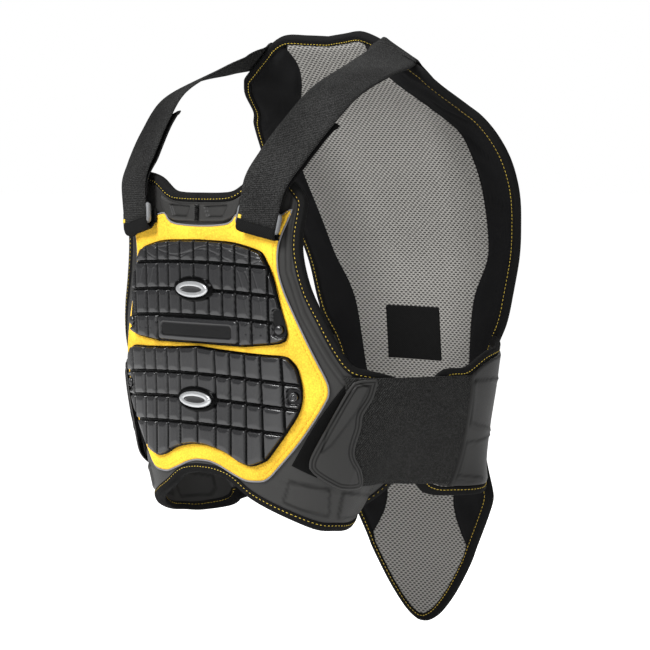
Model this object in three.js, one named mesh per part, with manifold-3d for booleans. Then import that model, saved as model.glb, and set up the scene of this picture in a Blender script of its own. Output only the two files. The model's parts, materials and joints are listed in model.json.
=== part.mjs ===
// Motorcycle armour vest: chest shell and back shell joined by two shoulder straps and two belts.
// Millimetres, +Z up, the wearer faces -Y, the wearer's left is +X.
import * as THREE from 'three';
import Module from 'manifold-3d';

const wasm = await Module();
wasm.setup();

// Driving dimensions
const seat = { forward: 25, height: 252 };      // where the straps rest, from the torso's middle
const gap = 0.3;                                // clearance between pieces that meet
const layerStep = 0.9;                          // clearance between cloth layers that lie side by side
const shellStep = 3.4;                           // clearance between a shell and the braid round its edge

const chest = {
  height: 340, wingReach: 220, depth: 165, thickness: 8,
  flat: 80, turn: 130,                          // where the front starts to turn, and turns tighter
  frontRadius: 600, turnRadius: 170, sideRadius: 90
};
const back = {
  height: 577, halfWidth: 174, depth: 142, radius: 1450, outline: 627,
  edgeThickness: 5, crown: 13
};
const binding = { width: 9, proud: 0.9 };
const overlay = { thickness: 2 };
const plate = { lift: 1.2, base: 2.2, block: 3.6, groove: 2.4, rim: 0.45 };
const mesh = { thickness: 2.4 };
const lining = { thickness: 1.4 };
const label = { width: 77, height: 56, thickness: 1.2, across: -5, down: 343 };
const pad = { thickness: 3, seam: 1.8 };
const strap = {
  width: 53, ringWidth: 45, rearWidth: 46, thickness: 2, bow: 22, lift: 12.9, endLength: 110, endThickness: 1.3
};
const ring = { width: 54, height: 21, bar: 4, thickness: 3 };
const strapTab = { thickness: 1.6 };
const belt = { thickness: 1.4, top: -39, bottom: -141, flare: 5, bulge: 39.5, tabThickness: 2, patch: 1.2 };
const flap = { front: 36, seam: 92, thickness: 4, reach: 0.2, rear: 2, slant: 25, fold: 1 };
const oval = { long: 45, high: 15.5, thickness: 1.4, rim: 3.5, boss: 1.4 };
const rivet = { radius: 4.5, height: 3.4, pocket: 6.5, sides: 12 };

// Chest heights as shares of its height, depth as a share of its depth, width as a factor
const chestRows = [
  { up: 0.47, depth: 0.994, wide: 1.06 },
  { up: 0.324, depth: 1.006, wide: 1.06 },
  { up: 0.124, depth: 1.0, wide: 1.06 },
  { up: -0.044, depth: 0.988, wide: 1.02 },
  { up: -0.176, depth: 0.976, wide: 0.955 },
  { up: -0.294, depth: 0.976, wide: 0.85 },
  { up: -0.412, depth: 0.976, wide: 0.74 },
  { up: -0.559, depth: 0.958, wide: 0.61 }
];

// Back centre line: rearward share of its depth, height share, and radius across as a share
const backRows = [
  { rear: -0.014, up: 0.4974, round: 0.29 },
  { rear: 0.228, up: 0.4315, round: 0.3 },
  { rear: 0.441, up: 0.3726, round: 0.55 },
  { rear: 0.703, up: 0.2513, round: 1 },
  { rear: 0.807, up: 0.1889, round: 0.97 },
  { rear: 0.89, up: 0.1248, round: 0.81 },
  { rear: 0.931, up: 0.0399, round: 0.55 },
  { rear: 0.952, up: -0.0156, round: 0.43 },
  { rear: 0.972, up: -0.0832, round: 0.4 },
  { rear: 0.993, up: -0.26, round: 0.38 },
  { rear: 1, up: -0.409, round: 0.38 },
  { rear: 1, up: -0.555, round: 0.38 }
];

// Smooth interpolation through a table's rows, straight on beyond its ends
function follow(rows, key, by, at) {
  const rising = rows[0][by] < rows[rows.length - 1][by];
  const list = rising ? rows : [...rows].reverse();
  const last = list.length - 1;
  const slope = (i) => (list[i + 1][key] - list[i][key]) / (list[i + 1][by] - list[i][by]);
  const tangent = (i) => {
    if (i === 0) return slope(0);
    if (i === last) return slope(last - 1);
    const before = list[i][by] - list[i - 1][by];
    const after = list[i + 1][by] - list[i][by];
    return (slope(i - 1) * after + slope(i) * before) / (before + after);
  };
  if (at <= list[0][by]) return list[0][key] + tangent(0) * (at - list[0][by]);
  if (at >= list[last][by]) return list[last][key] + tangent(last) * (at - list[last][by]);
  let i = 0;
  while (list[i + 1][by] < at) i += 1;
  const span = list[i + 1][by] - list[i][by];
  const q = (at - list[i][by]) / span;
  return (1 + 2 * q) * (1 - q) ** 2 * list[i][key] + q * (1 - q) ** 2 * span * tangent(i)
    + q * q * (3 - 2 * q) * list[i + 1][key] + q * q * (q - 1) * span * tangent(i + 1);
}

// Chest surface: across along the surface, height, distance out of it
function chestPoint(across, up, out = 0) {
  const share = up / chest.height;
  const wide = follow(chestRows, 'wide', 'up', share);
  const depth = chest.depth * follow(chestRows, 'depth', 'up', share);
  const run = Math.abs(across) / wide;
  const a = Math.min(run, chest.flat) / chest.frontRadius;
  const b = a + THREE.MathUtils.clamp(run - chest.flat, 0, chest.turn - chest.flat) / chest.turnRadius;
  const c = b + Math.max(run - chest.turn, 0) / chest.sideRadius;
  const side = chest.frontRadius * Math.sin(a) + chest.turnRadius * (Math.sin(b) - Math.sin(a))
    + chest.sideRadius * (Math.sin(c) - Math.sin(b));
  const fall = chest.frontRadius * (1 - Math.cos(a)) + chest.turnRadius * (Math.cos(a) - Math.cos(b))
    + chest.sideRadius * (Math.cos(b) - Math.cos(c));
  const sign = across < 0 ? -1 : 1;
  return new THREE.Vector3(
    sign * (side * wide + out * Math.sin(c)), -depth + fall * wide - out * Math.cos(c), up
  );
}

// Back centre line sampled finely, with its length from the top
const spineSteps = 400;
const spine = [];
{
  const chord = [0];
  backRows.forEach((row, i) => {
    if (i === 0) return;
    const rear = (row.rear - backRows[i - 1].rear) * back.depth;
    const fall = (row.up - backRows[i - 1].up) * back.height;
    chord.push(chord[i - 1] + Math.hypot(rear, fall));
  });
  const rows = backRows.map((row, i) => ({ ...row, chord: chord[i] }));
  let length = 0;
  for (let i = 0; i <= spineSteps; i += 1) {
    const at = chord[chord.length - 1] * i / spineSteps;
    const rear = back.depth * follow(rows, 'rear', 'chord', at);
    const up = back.height * follow(rows, 'up', 'chord', at);
    if (i > 0) length += Math.hypot(rear - spine[i - 1].rear, up - spine[i - 1].up);
    spine.push({ rear, up, length, radius: back.radius * follow(rows, 'round', 'chord', at) });
  }
}
const backLength = spine[spineSteps].length;

// Place and direction on the centre line at a length from the top
function spineAt(down) {
  const at = THREE.MathUtils.clamp(down, 0, backLength);
  let i = 0;
  while (i < spineSteps - 1 && spine[i + 1].length < at) i += 1;
  const from = spine[i];
  const to = spine[i + 1];
  const share = (down - from.length) / (to.length - from.length);
  const length = Math.hypot(to.rear - from.rear, to.up - from.up);
  return {
    rear: THREE.MathUtils.lerp(from.rear, to.rear, share),
    up: THREE.MathUtils.lerp(from.up, to.up, share),
    radius: THREE.MathUtils.lerp(from.radius, to.radius, THREE.MathUtils.clamp(share, 0, 1)),
    tangent: [(to.rear - from.rear) / length, (to.up - from.up) / length]
  };
}

// Back surface: across, length from the top, distance away from the wearer
function backPoint(across, down, out = 0) {
  const at = spineAt(down);
  const turn = across / at.radius;
  const inward = at.radius * (1 - Math.cos(turn)) - out * Math.cos(turn);
  return new THREE.Vector3(
    at.radius * Math.sin(turn) + out * Math.sin(turn),
    at.rear + at.tangent[1] * inward, at.up - at.tangent[0] * inward
  );
}

function downAtHeight(up) {
  let i = 0;
  while (i < spineSteps - 1 && spine[i + 1].up > up) i += 1;
  const share = (up - spine[i].up) / (spine[i + 1].up - spine[i].up);
  return THREE.MathUtils.lerp(spine[i].length, spine[i + 1].length, share);
}

// Back shell: shares of its half width, and of its length from the top
const backTop = [[0, 0.004], [0.15, -0.001], [0.3, -0.008], [0.42, -0.001], [0.53, 0.014], [0.65, 0.032], [0.741, 0.047]];
const backFlank = [
  [0.741, 0.047], [0.802, 0.074], [0.868, 0.126], [0.931, 0.153], [0.977, 0.195], [1, 0.244],
  [0.98, 0.302], [0.914, 0.367], [0.839, 0.434], [0.736, 0.512], [0.608, 0.557], [0.54, 0.604],
  [0.5, 0.67], [0.52, 0.73], [0.59, 0.784]
];
const backBottom = [
  [0.59, 0.784], [0.603, 0.803], [0.563, 0.83], [0.448, 0.888], [0.391, 0.918], [0.264, 0.969],
  [0.138, 1.007], [0.046, 1.023], [0, 1.025]
];
const edgeRows = backFlank.map(([across, down]) => ({ across, down }));

// Where the flank meets the back: at its edge line, and in front of its inner face
function flankRear(up) {
  const down = downAtHeight(up);
  const across = back.halfWidth * follow(edgeRows, 'across', 'down', down / back.outline);
  return backPoint(across - flap.reach, down, -flap.rear);
}

// Flank between the wing's end and the edge of the back: share along, and share of the bulge
const flankRows = [
  { along: 0, out: 0 },
  { along: 0.2, out: 0.43 },
  { along: 0.445, out: 0.87 },
  { along: 0.705, out: 1 },
  { along: 0.83, out: 0.63 },
  { along: 1, out: 0 }
];
const flankSteps = 48;

// Flank surface on the left: length behind the wing's end (ahead of it on the chest), height, distance out
function flankPoint(along, up, out = 0) {
  if (along <= 0) return chestPoint(chest.wingReach + along, up, out);
  const from = chestPoint(chest.wingReach, up);
  const to = flankRear(up);
  const place = (share) => {
    const bulge = belt.bulge * follow(flankRows, 'out', 'along', share);
    return new THREE.Vector2(
      THREE.MathUtils.lerp(from.x, to.x, share) + bulge, THREE.MathUtils.lerp(from.y, to.y, share)
    );
  };
  let length = 0;
  let before = place(0);
  let after = before;
  let i = 0;
  while (i < flankSteps && length < along) {
    i += 1;
    before = after;
    after = place(i / flankSteps);
    length += after.distanceTo(before);
  }
  const step = after.distanceTo(before);
  const spot = after.clone().lerp(before, (length - along) / step);
  const heading = after.clone().sub(before).divideScalar(step);
  return new THREE.Vector3(spot.x + heading.y * out, spot.y - heading.x * out, up);
}

function flankLength(up) {
  const from = chestPoint(chest.wingReach, up);
  const to = flankRear(up);
  let length = 0;
  let last = new THREE.Vector2(from.x, from.y);
  for (let i = 1; i <= flankSteps; i += 1) {
    const share = i / flankSteps;
    const bulge = belt.bulge * follow(flankRows, 'out', 'along', share);
    const next = new THREE.Vector2(
      THREE.MathUtils.lerp(from.x, to.x, share) + bulge, THREE.MathUtils.lerp(from.y, to.y, share)
    );
    length += next.distanceTo(last);
    last = next;
  }
  return length;
}

// Outlines: each side is a smooth curve through rows of [across share, height share]
function side(rows, across, up, steps) {
  const points = rows.map(([x, y]) => new THREE.Vector2(x * across, y * up));
  return new THREE.SplineCurve(points).getSpacedPoints(steps);
}

// Right half of an outline: top from the middle outwards, side downwards, bottom back to the middle
function halfOutline(top, flank, bottom) {
  return { top, flank, bottom };
}

// The whole loop, the right half first and then its mirror image
function fullLoop(half) {
  const right = [...half.top, ...half.flank.slice(1), ...half.bottom.slice(1)];
  const left = right.slice(1, -1).reverse().map((p) => new THREE.Vector2(-p.x, p.y));
  return [...right, ...left];
}

// Every point of a closed loop moved inwards by a distance
function inset(loop, distance) {
  const turn = THREE.ShapeUtils.isClockWise(loop) ? 1 : -1;
  return loop.map((point, i) => {
    const before = loop[(i + loop.length - 1) % loop.length];
    const after = loop[(i + 1) % loop.length];
    const heading = after.clone().sub(before).normalize();
    return new THREE.Vector2(point.x + heading.y * turn * distance, point.y - heading.x * turn * distance);
  });
}

function insetHalf(half, distance) {
  const loop = inset(fullLoop(half), distance);
  const a = half.top.length - 1;
  const b = a + half.flank.length - 1;
  const c = b + half.bottom.length - 1;
  return halfOutline(loop.slice(0, a + 1), loop.slice(a, b + 1), loop.slice(b, c + 1));
}

// Patch over the right half outline: straight middle line, its four sides blended across
function patch(half) {
  const columns = half.top.length - 1;
  const rows = half.flank.length - 1;
  const bottom = [...half.bottom].reverse();
  const grid = [];
  for (let j = 0; j <= rows; j += 1) {
    const t = j / rows;
    const middle = half.top[0].clone().lerp(bottom[0], t);
    const row = [];
    for (let i = 0; i <= columns; i += 1) {
      const s = i / columns;
      const across = middle.clone().lerp(half.flank[j], s);
      const along = half.top[i].clone().lerp(bottom[i], t);
      const corners = half.top[0].clone().lerp(half.top[columns], s)
        .lerp(bottom[0].clone().lerp(bottom[columns], s), t);
      row.push(across.add(along).sub(corners));
    }
    grid.push(row);
  }
  return grid;
}

// The right half's grid and its mirror image as one grid
function mirrored(grid) {
  return grid.map((row) => [...row.slice(1).reverse().map((p) => new THREE.Vector2(-p.x, p.y)), ...row]);
}

function geometryFrom(points, triangles) {
  const shape = new THREE.BufferGeometry();
  shape.setAttribute('position', new THREE.Float32BufferAttribute(points.flatMap((p) => [p.x, p.y, p.z]), 3));
  let volume = 0;
  for (let i = 0; i < triangles.length; i += 3) {
    const [a, b, c] = [points[triangles[i]], points[triangles[i + 1]], points[triangles[i + 2]]];
    volume += a.dot(b.clone().cross(c));
  }
  if (volume < 0) {
    for (let i = 0; i < triangles.length; i += 3) {
      [triangles[i], triangles[i + 1]] = [triangles[i + 1], triangles[i]];
    }
  }
  shape.setIndex(triangles);
  return shape;
}

// Closed body between two grids of points that share their layout
function slab(outer, inner) {
  const rows = outer.length;
  const columns = outer[0].length;
  const count = rows * columns;
  const points = [...outer.flat(), ...inner.flat()];
  const triangles = [];
  const quad = (a, b, c, d) => triangles.push(a, b, c, a, c, d);
  for (let j = 0; j < rows - 1; j += 1) {
    for (let i = 0; i < columns - 1; i += 1) {
      const k = j * columns + i;
      quad(k, k + 1, k + columns + 1, k + columns);
      quad(count + k, count + k + columns, count + k + columns + 1, count + k + 1);
    }
  }
  const rim = [];
  for (let i = 0; i < columns; i += 1) rim.push(i);
  for (let j = 1; j < rows; j += 1) rim.push(j * columns + columns - 1);
  for (let i = columns - 2; i >= 0; i -= 1) rim.push((rows - 1) * columns + i);
  for (let j = rows - 2; j > 0; j -= 1) rim.push(j * columns);
  rim.forEach((a, n) => {
    const b = rim[(n + 1) % rim.length];
    quad(a, count + a, count + b, b);
  });
  return geometryFrom(points, triangles);
}

// Closed body over a flat grid, between two distances out of a surface
function sheetOn(surface, grid, outer, inner) {
  const level = (height) => grid.map((row, j) => row.map((p, i) => {
    const out = typeof height === 'function' ? height(i / (row.length - 1), j / (grid.length - 1), p) : height;
    return surface(p.x, p.y, out);
  }));
  return slab(level(outer), level(inner));
}

// Closed body from sections of the same number of points, joined end to end or in a ring
function skin(sections, closed = false) {
  const size = sections[0].length;
  const points = sections.flat();
  const triangles = [];
  const last = closed ? sections.length : sections.length - 1;
  for (let j = 0; j < last; j += 1) {
    const here = j * size;
    const next = ((j + 1) % sections.length) * size;
    for (let i = 0; i < size; i += 1) {
      const k = (i + 1) % size;
      triangles.push(here + i, here + k, next + k, here + i, next + k, next + i);
    }
  }
  if (!closed) {
    const end = (sections.length - 1) * size;
    for (let i = 1; i < size - 1; i += 1) {
      triangles.push(0, i + 1, i, end, end + i, end + i + 1);
    }
  }
  return geometryFrom(points, triangles);
}

// Folded edge braid: a flat rounded section carried along the edge, from its rim to its inner side
const braidSection = [
  { in: 0, out: 0.5 }, { in: 0.25, out: 0 }, { in: 1, out: 0 }, { in: 1, out: 1 }, { in: 0.25, out: 1 }
];
function braid(surface, rim, innerSide, low, high, closed = true) {
  return skin(rim.map((point, i) => braidSection.map((corner) => {
    const p = point.clone().lerp(innerSide[i], corner.in);
    return surface(p.x, p.y, THREE.MathUtils.lerp(low, high, corner.out));
  })), closed);
}

function braidRound(surface, half, low, high) {
  const rim = fullLoop(half);
  return braid(surface, rim, inset(rim, binding.width), low, high);
}

function solidOf(shape) {
  const position = shape.getAttribute('position');
  return new wasm.Manifold(new wasm.Mesh({
    numProp: 3,
    vertProperties: new Float32Array(position.array),
    triVerts: new Uint32Array(shape.getIndex().array)
  }));
}

function geometryOf(solid) {
  const result = solid.getMesh();
  const shape = new THREE.BufferGeometry();
  shape.setAttribute('position', new THREE.BufferAttribute(new Float32Array(result.vertProperties), 3));
  shape.setIndex(new THREE.BufferAttribute(new Uint32Array(result.triVerts), 1));
  return shape;
}

// Colours and finishes
const finish = {
  leatherette: { color: 0x424242, roughness: 0.55 },
  suede: { color: 0xffcd32, roughness: 0.9 },
  plastic: { color: 0x1c1d1e, roughness: 0.35 },
  silver: { color: 0xb9bcbe, roughness: 0.3, metalness: 0.8 },
  braid: { color: 0x161616, roughness: 0.9 },
  lining: { color: 0x0e0e0e, roughness: 0.95 },
  spacer: { color: 0x96948f, roughness: 0.9 },
  elastic: { color: 0x2c2c2c, roughness: 0.95 },
  webbing: { color: 0x141414, roughness: 0.85 },
  greyPlastic: { color: 0x77797b, roughness: 0.4 }
};

const vest = new THREE.Group();
vest.position.set(0, seat.forward, -seat.height);

function add(name, shape, look) {
  const piece = new THREE.Mesh(shape, new THREE.MeshStandardMaterial(look));
  piece.name = name;
  vest.add(piece);
}

// The same shape on the wearer's right
function mirror(shape) {
  const position = shape.getAttribute('position');
  const points = [];
  for (let i = 0; i < position.count; i += 1) {
    points.push(new THREE.Vector3(-position.getX(i), position.getY(i), position.getZ(i)));
  }
  return geometryFrom(points, Array.from(shape.getIndex().array));
}

function addPair(name, shape, look) {
  add(`${name}_left`, shape, look);
  add(`${name}_right`, mirror(shape), look);
}

// Chest shell, shares of the wing's reach and of the chest's height
const chestTop = [[0, 0.393], [0.127, 0.394], [0.209, 0.402], [0.3, 0.433], [0.386, 0.441], [0.468, 0.436], [0.536, 0.414]];
const chestFlank = [
  [0.536, 0.414], [0.586, 0.38], [0.589, 0.349], [0.569, 0.274], [0.573, 0.211], [0.607, 0.131],
  [0.665, 0.056], [0.727, -0.024], [0.781, -0.075], [0.848, -0.088], [0.941, -0.103], [0.99, -0.118],
  [1.005, -0.17], [1, -0.29], [0.98, -0.45]
];
const chestBottom = [
  [0.98, -0.45], [0.94, -0.505], [0.87, -0.538], [0.77, -0.551], [0.66, -0.544], [0.567, -0.527], [0.43, -0.483],
  [0.263, -0.444], [0.158, -0.411], [0.068, -0.4], [0, -0.398]
];
function chestOutline() {
  return halfOutline(
    side(chestTop, chest.wingReach, chest.height, 7),
    side(chestFlank, chest.wingReach, chest.height, 16),
    side(chestBottom, chest.wingReach, chest.height, 7)
  );
}
const chestEdge = chestOutline();
add('chest_panel', sheetOn(
  chestPoint, mirrored(patch(insetHalf(chestEdge, binding.width + shellStep))), 0, -chest.thickness
), finish.leatherette);
add('chest_binding', braidRound(
  chestPoint, chestEdge, -chest.thickness - binding.proud, binding.proud
), finish.braid);

// Suede panel on the chest
const overlayHalf = halfOutline(
  side([[0, 0.2985], [0.09, 0.3], [0.173, 0.305], [0.21, 0.315], [0.236, 0.332], [0.28, 0.329],
    [0.38, 0.318], [0.47, 0.33], [0.53, 0.35]], chest.wingReach, chest.height, 7),
  side([[0.53, 0.35], [0.505, 0.315], [0.478, 0.28], [0.459, 0.24], [0.459, 0.18], [0.486, 0.124],
    [0.527, 0.067], [0.577, 0], [0.623, -0.062], [0.662, -0.118], [0.668, -0.147], [0.655, -0.171],
    [0.59, -0.235], [0.509, -0.303], [0.391, -0.385]], chest.wingReach, chest.height, 10),
  side([[0.391, -0.385], [0.355, -0.4], [0.305, -0.404], [0.255, -0.403], [0.209, -0.394],
    [0.155, -0.381], [0.1, -0.368], [0.045, -0.36], [0, -0.359]], chest.wingReach, chest.height, 7)
);
const overlayTop = layerStep + overlay.thickness;
add('chest_overlay', sheetOn(chestPoint, mirrored(patch(overlayHalf)), overlayTop, layerStep), finish.suede);

// Neck pads, left of the seam and mirrored, with a sunk field in each
const padHalf = halfOutline(
  side([[0, 0.361], [0.12, 0.362], [0.2, 0.37], [0.26, 0.386]], chest.wingReach, chest.height, 6),
  side([[0.26, 0.386], [0.262, 0.376], [0.257, 0.362], [0.248, 0.351]], chest.wingReach, chest.height, 5),
  side([[0.248, 0.351], [0.225, 0.331], [0.17, 0.315], [0.09, 0.312], [0, 0.311]],
    chest.wingReach, chest.height, 6)
);
const padGrid = patch(padHalf).map((row) => row.map((p, i) => (i === 0 ? new THREE.Vector2(pad.seam, p.y) : p)));
addPair('chest_top_pad', sheetOn(chestPoint, padGrid, (s, t) => {
  const sunk = s > 0.2 && s < 0.75 && t > 0.3 && t < 0.7;
  return layerStep + pad.thickness * (sunk ? 0.55 : 1) * (s > 0.99 || t > 0.99 || t < 0.01 ? 0.5 : 1);
}, layerStep), finish.leatherette);

// Segmented plates: outline, row breaks and column breaks, all in shares of the wing's reach and the height
const plates = {
  upper: {
    top: [[0, 0.263], [0.2, 0.259], [0.3, 0.249], [0.38, 0.235], [0.404, 0.22]],
    flank: [[0.404, 0.22], [0.445, 0.168], [0.477, 0.091], [0.507, 0.018], [0.5, -0.009]],
    bottom: [[0.5, -0.009], [0.455, -0.02], [0.31, -0.03], [0.25, -0.032], [0, -0.0305]],
    rows: [0.263, 0.199, 0.122, 0.0485, -0.032],
    columns: [0, 0.091, 0.173, 0.25, 0.336, 0.427, 0.52],
    bar: 0.26,
    badge: 0.123,
    stud: [0.476, 0.021]
  },
  lower: {
    top: [[0, -0.036], [0.17, -0.043], [0.364, -0.0485], [0.49, -0.0515], [0.527, -0.065]],
    flank: [[0.527, -0.065], [0.55, -0.088], [0.564, -0.147], [0.545, -0.203], [0.482, -0.265],
      [0.4, -0.332], [0.382, -0.344]],
    bottom: [[0.382, -0.344], [0.355, -0.353], [0.3, -0.363], [0.236, -0.354], [0.158, -0.332],
      [0.059, -0.318], [0, -0.316]],
    rows: [-0.036, -0.115, -0.184, -0.256, -0.363],
    columns: [0, 0.114, 0.202, 0.289, 0.375, 0.48, 0.6],
    bar: 0,
    badge: -0.187,
    stud: [0.527, -0.162]
  }
};
const grooveDroop = 0.012;      // how far the rows sink towards the sides, share of the height

// Channel cut along a line on the chest, its width measured across or up
function channel(line, low, high, upright) {
  const reach = plate.groove / 2;
  return skin(line.map((p) => {
    const shift = upright ? [reach, 0] : [0, reach];
    return [[-1, low], [1, low], [1, high], [-1, high]].map(([sideways, out]) => (
      chestPoint(p.x + shift[0] * sideways, p.y + shift[1] * sideways, out)
    ));
  }));
}

const plateLow = overlayTop + plate.lift;
const plateTop = plateLow + plate.base + plate.block;
const channelSteps = { across: 6, up: 2 };
function platePiece(form) {
  const half = halfOutline(
    side(form.top, chest.wingReach, chest.height, 5),
    side(form.flank, chest.wingReach, chest.height, 3),
    side(form.bottom, chest.wingReach, chest.height, 5)
  );
  const rimLevel = plateLow + plate.base + plate.block * plate.rim;
  const slabBody = sheetOn(chestPoint, mirrored(patch(half)), (s, t) => (
    s < 0.01 || s > 0.99 || t < 0.01 || t > 0.99 ? rimLevel : plateTop
  ), plateLow);
  let body = solidOf(slabBody);
  const droop = (x) => -grooveDroop * chest.height * (x / (chest.wingReach * 0.5)) ** 2;
  const cut = (line, upright) => {
    body = body.subtract(solidOf(channel(line, plateLow + plate.base, plateTop + plate.block, upright)));
  };
  const reach = form.columns[form.columns.length - 1] * chest.wingReach;
  form.rows.slice(1, -1).forEach((row) => {
    const line = [];
    for (let i = 0; i <= channelSteps.across; i += 1) {
      const x = THREE.MathUtils.lerp(-reach, reach, i / channelSteps.across);
      line.push(new THREE.Vector2(x, row * chest.height + droop(x)));
    }
    cut(line, false);
  });
  const top = form.rows[0];
  const bottom = form.rows[form.rows.length - 1];
  form.columns.slice(0, -1).forEach((column) => {
    const last = column < form.bar ? form.rows[form.rows.length - 2] : bottom - plate.groove / chest.height;
    [-1, 1].slice(column === 0 ? 1 : 0).forEach((way) => {
      const x = way * column * chest.wingReach;
      const line = [];
      for (let i = 0; i <= channelSteps.up; i += 1) {
        const up = THREE.MathUtils.lerp(top + plate.groove / chest.height, last, i / channelSteps.up);
        line.push(new THREE.Vector2(x, up * chest.height));
      }
      cut(line, true);
    });
  });
  const boss = ovalShape(oval.long / 2 + oval.rim, oval.high / 2 + oval.rim, oval.boss, plateTop,
    form.badge * chest.height, plate.block);
  body = body.add(solidOf(boss));
  [-1, 1].forEach((way) => {
    body = body.subtract(solidOf(weld(studShape(form, way, [
      [0, 0], [rivet.pocket, 0], [rivet.pocket, plate.block * 3], [0, plate.block * 3]
    ], 0))));
  });
  return body;
}

// Round shape turned about the plate's normal where a rivet sits, from the floor of its pocket
function studShape(form, way, profile, lift) {
  const [across, up] = [way * form.stud[0] * chest.wingReach, form.stud[1] * chest.height];
  const foot = chestPoint(across, up, plateLow + plate.base + lift);
  const out = chestPoint(across, up, plateTop).sub(chestPoint(across, up, plateLow)).normalize();
  const shape = new THREE.LatheGeometry(profile.map(([x, y]) => new THREE.Vector2(x, y)), rivet.sides);
  shape.applyQuaternion(new THREE.Quaternion().setFromUnitVectors(new THREE.Vector3(0, 1, 0), out));
  return shape.translate(foot.x, foot.y, foot.z);
}

// Oval disc that faces forward at a height on the chest's middle line, with a chamfered rim
const ovalSides = 20;
function ovalShape(halfLong, halfHigh, thickness, from, up, buried = 0) {
  const ringAt = (scale, out) => {
    const points = [];
    for (let i = 0; i < ovalSides; i += 1) {
      const angle = 2 * Math.PI * i / ovalSides;
      points.push(new THREE.Vector3(
        halfLong * scale * Math.cos(angle), chestPoint(0, up, out).y, up + halfHigh * scale * Math.sin(angle)
      ));
    }
    return points;
  };
  return skin([ringAt(1, from - buried), ringAt(1, from + thickness * 0.6), ringAt(0.9, from + thickness)]);
}

Object.entries(plates).forEach(([level, form]) => {
  add(`${level}_plate`, geometryOf(platePiece(form)), finish.plastic);
  const badgeLow = plateTop + oval.boss + gap;
  add(`${level}_badge`, ovalShape(
    oval.long / 2, oval.high / 2, oval.thickness, badgeLow, form.badge * chest.height
  ), finish.silver);
  const stud = studShape(form, 1, [
    [0, 0], [rivet.radius, 0], [rivet.radius, rivet.height * 0.6], [rivet.radius * 0.7, rivet.height], [0, rivet.height]
  ], gap);
  addPair(`plate_rivet_${level}`, weld(stud), finish.plastic);
});

// Lathe shapes repeat their seam and poles: merge what coincides
function weld(shape) {
  const position = shape.getAttribute('position');
  const index = shape.getIndex().array;
  const seen = new Map();
  const points = [];
  const target = [];
  for (let i = 0; i < position.count; i += 1) {
    const p = new THREE.Vector3().fromBufferAttribute(position, i);
    const key = p.toArray().map((value) => Math.round(value * 1e4)).join();
    if (!seen.has(key)) {
      seen.set(key, points.length);
      points.push(p);
    }
    target.push(seen.get(key));
  }
  const triangles = [];
  for (let i = 0; i < index.length; i += 3) {
    const [a, b, c] = [target[index[i]], target[index[i + 1]], target[index[i + 2]]];
    if (a !== b && b !== c && a !== c) triangles.push(a, b, c);
  }
  return geometryFrom(points, triangles);
}

const backEdge = halfOutline(
  side(backTop, back.halfWidth, back.outline, 7),
  side(backFlank, back.halfWidth, back.outline, 17),
  side(backBottom, back.halfWidth, back.outline, 7)
);
const shellLow = gap + 1.5 * layerStep;
const shellCrown = (s, t) => {
  const across = Math.max(0, 1 - (2 * s - 1) ** 2);
  const down = Math.min(1, 6 * t * (1 - t));
  return back.edgeThickness + back.crown * across * down;
};
add('back_panel', sheetOn(
  backPoint, mirrored(patch(insetHalf(backEdge, binding.width + shellStep))), shellCrown, shellLow
), finish.leatherette);
add('back_binding', braidRound(
  backPoint, backEdge, -mesh.thickness, back.edgeThickness + binding.proud
), finish.braid);

// Spacer mesh and soft side linings on the inner face
const meshFlank = [
  [0.32, 0.017], [0.31, 0.046], [0.362, 0.082], [0.489, 0.128], [0.598, 0.161], [0.69, 0.192], [0.713, 0.238],
  [0.713, 0.282], [0.672, 0.36], [0.626, 0.414], [0.523, 0.464], [0.477, 0.498], [0.448, 0.549],
  [0.42, 0.606], [0.345, 0.7], [0.276, 0.8], [0.282, 0.834], [0.333, 0.864], [0.385, 0.885]
];
const inner = insetHalf(backEdge, binding.width + 2 * layerStep);
const meshSteps = 15;
const meshSide = side(meshFlank, back.halfWidth, back.outline, meshSteps);
const tailLoop = inner.bottom.filter((p) => p.x < meshSide[meshSteps].x - 2);
const meshTopEdge = inner.top.filter((p) => p.x < meshSide[0].x - 2);
function resample(points, steps) {
  return new THREE.SplineCurve(points).getSpacedPoints(steps);
}
const meshHalf = halfOutline(
  resample([...meshTopEdge, meshSide[0]], 5), meshSide, resample([meshSide[meshSteps], ...tailLoop], 5)
);
add('back_mesh', sheetOn(
  backPoint, mirrored(patch(meshHalf)), gap, gap - mesh.thickness
), finish.spacer);

const liningOuter = [
  ...inner.top.filter((p) => p.x > meshSide[0].x + 3), ...inner.flank.slice(1),
  ...inner.bottom.slice(1).filter((p) => p.x > meshSide[meshSteps].x + 3)
];
const liningRim = resample(liningOuter, meshSteps);
const liningGrid = meshSide.map((p, j) => {
  const away = liningRim[j].clone().sub(p);
  const near = p.clone().add(away.clone().multiplyScalar(layerStep * 2 / away.length()));
  return [near, near.clone().lerp(liningRim[j], 0.5), liningRim[j]];
});
addPair('back_side_lining', sheetOn(backPoint, liningGrid, gap, -lining.thickness), finish.lining);

const labelGrid = [];
for (let j = 0; j <= 2; j += 1) {
  const row = [];
  for (let i = 0; i <= 3; i += 1) {
    row.push(new THREE.Vector2(label.across + label.width * (i / 3 - 0.5), label.down + label.height * (j / 2 - 0.5)));
  }
  labelGrid.push(row);
}
const labelTop = gap - mesh.thickness - gap;
add('inner_label', sheetOn(backPoint, labelGrid, labelTop, labelTop - label.thickness), finish.webbing);

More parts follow.
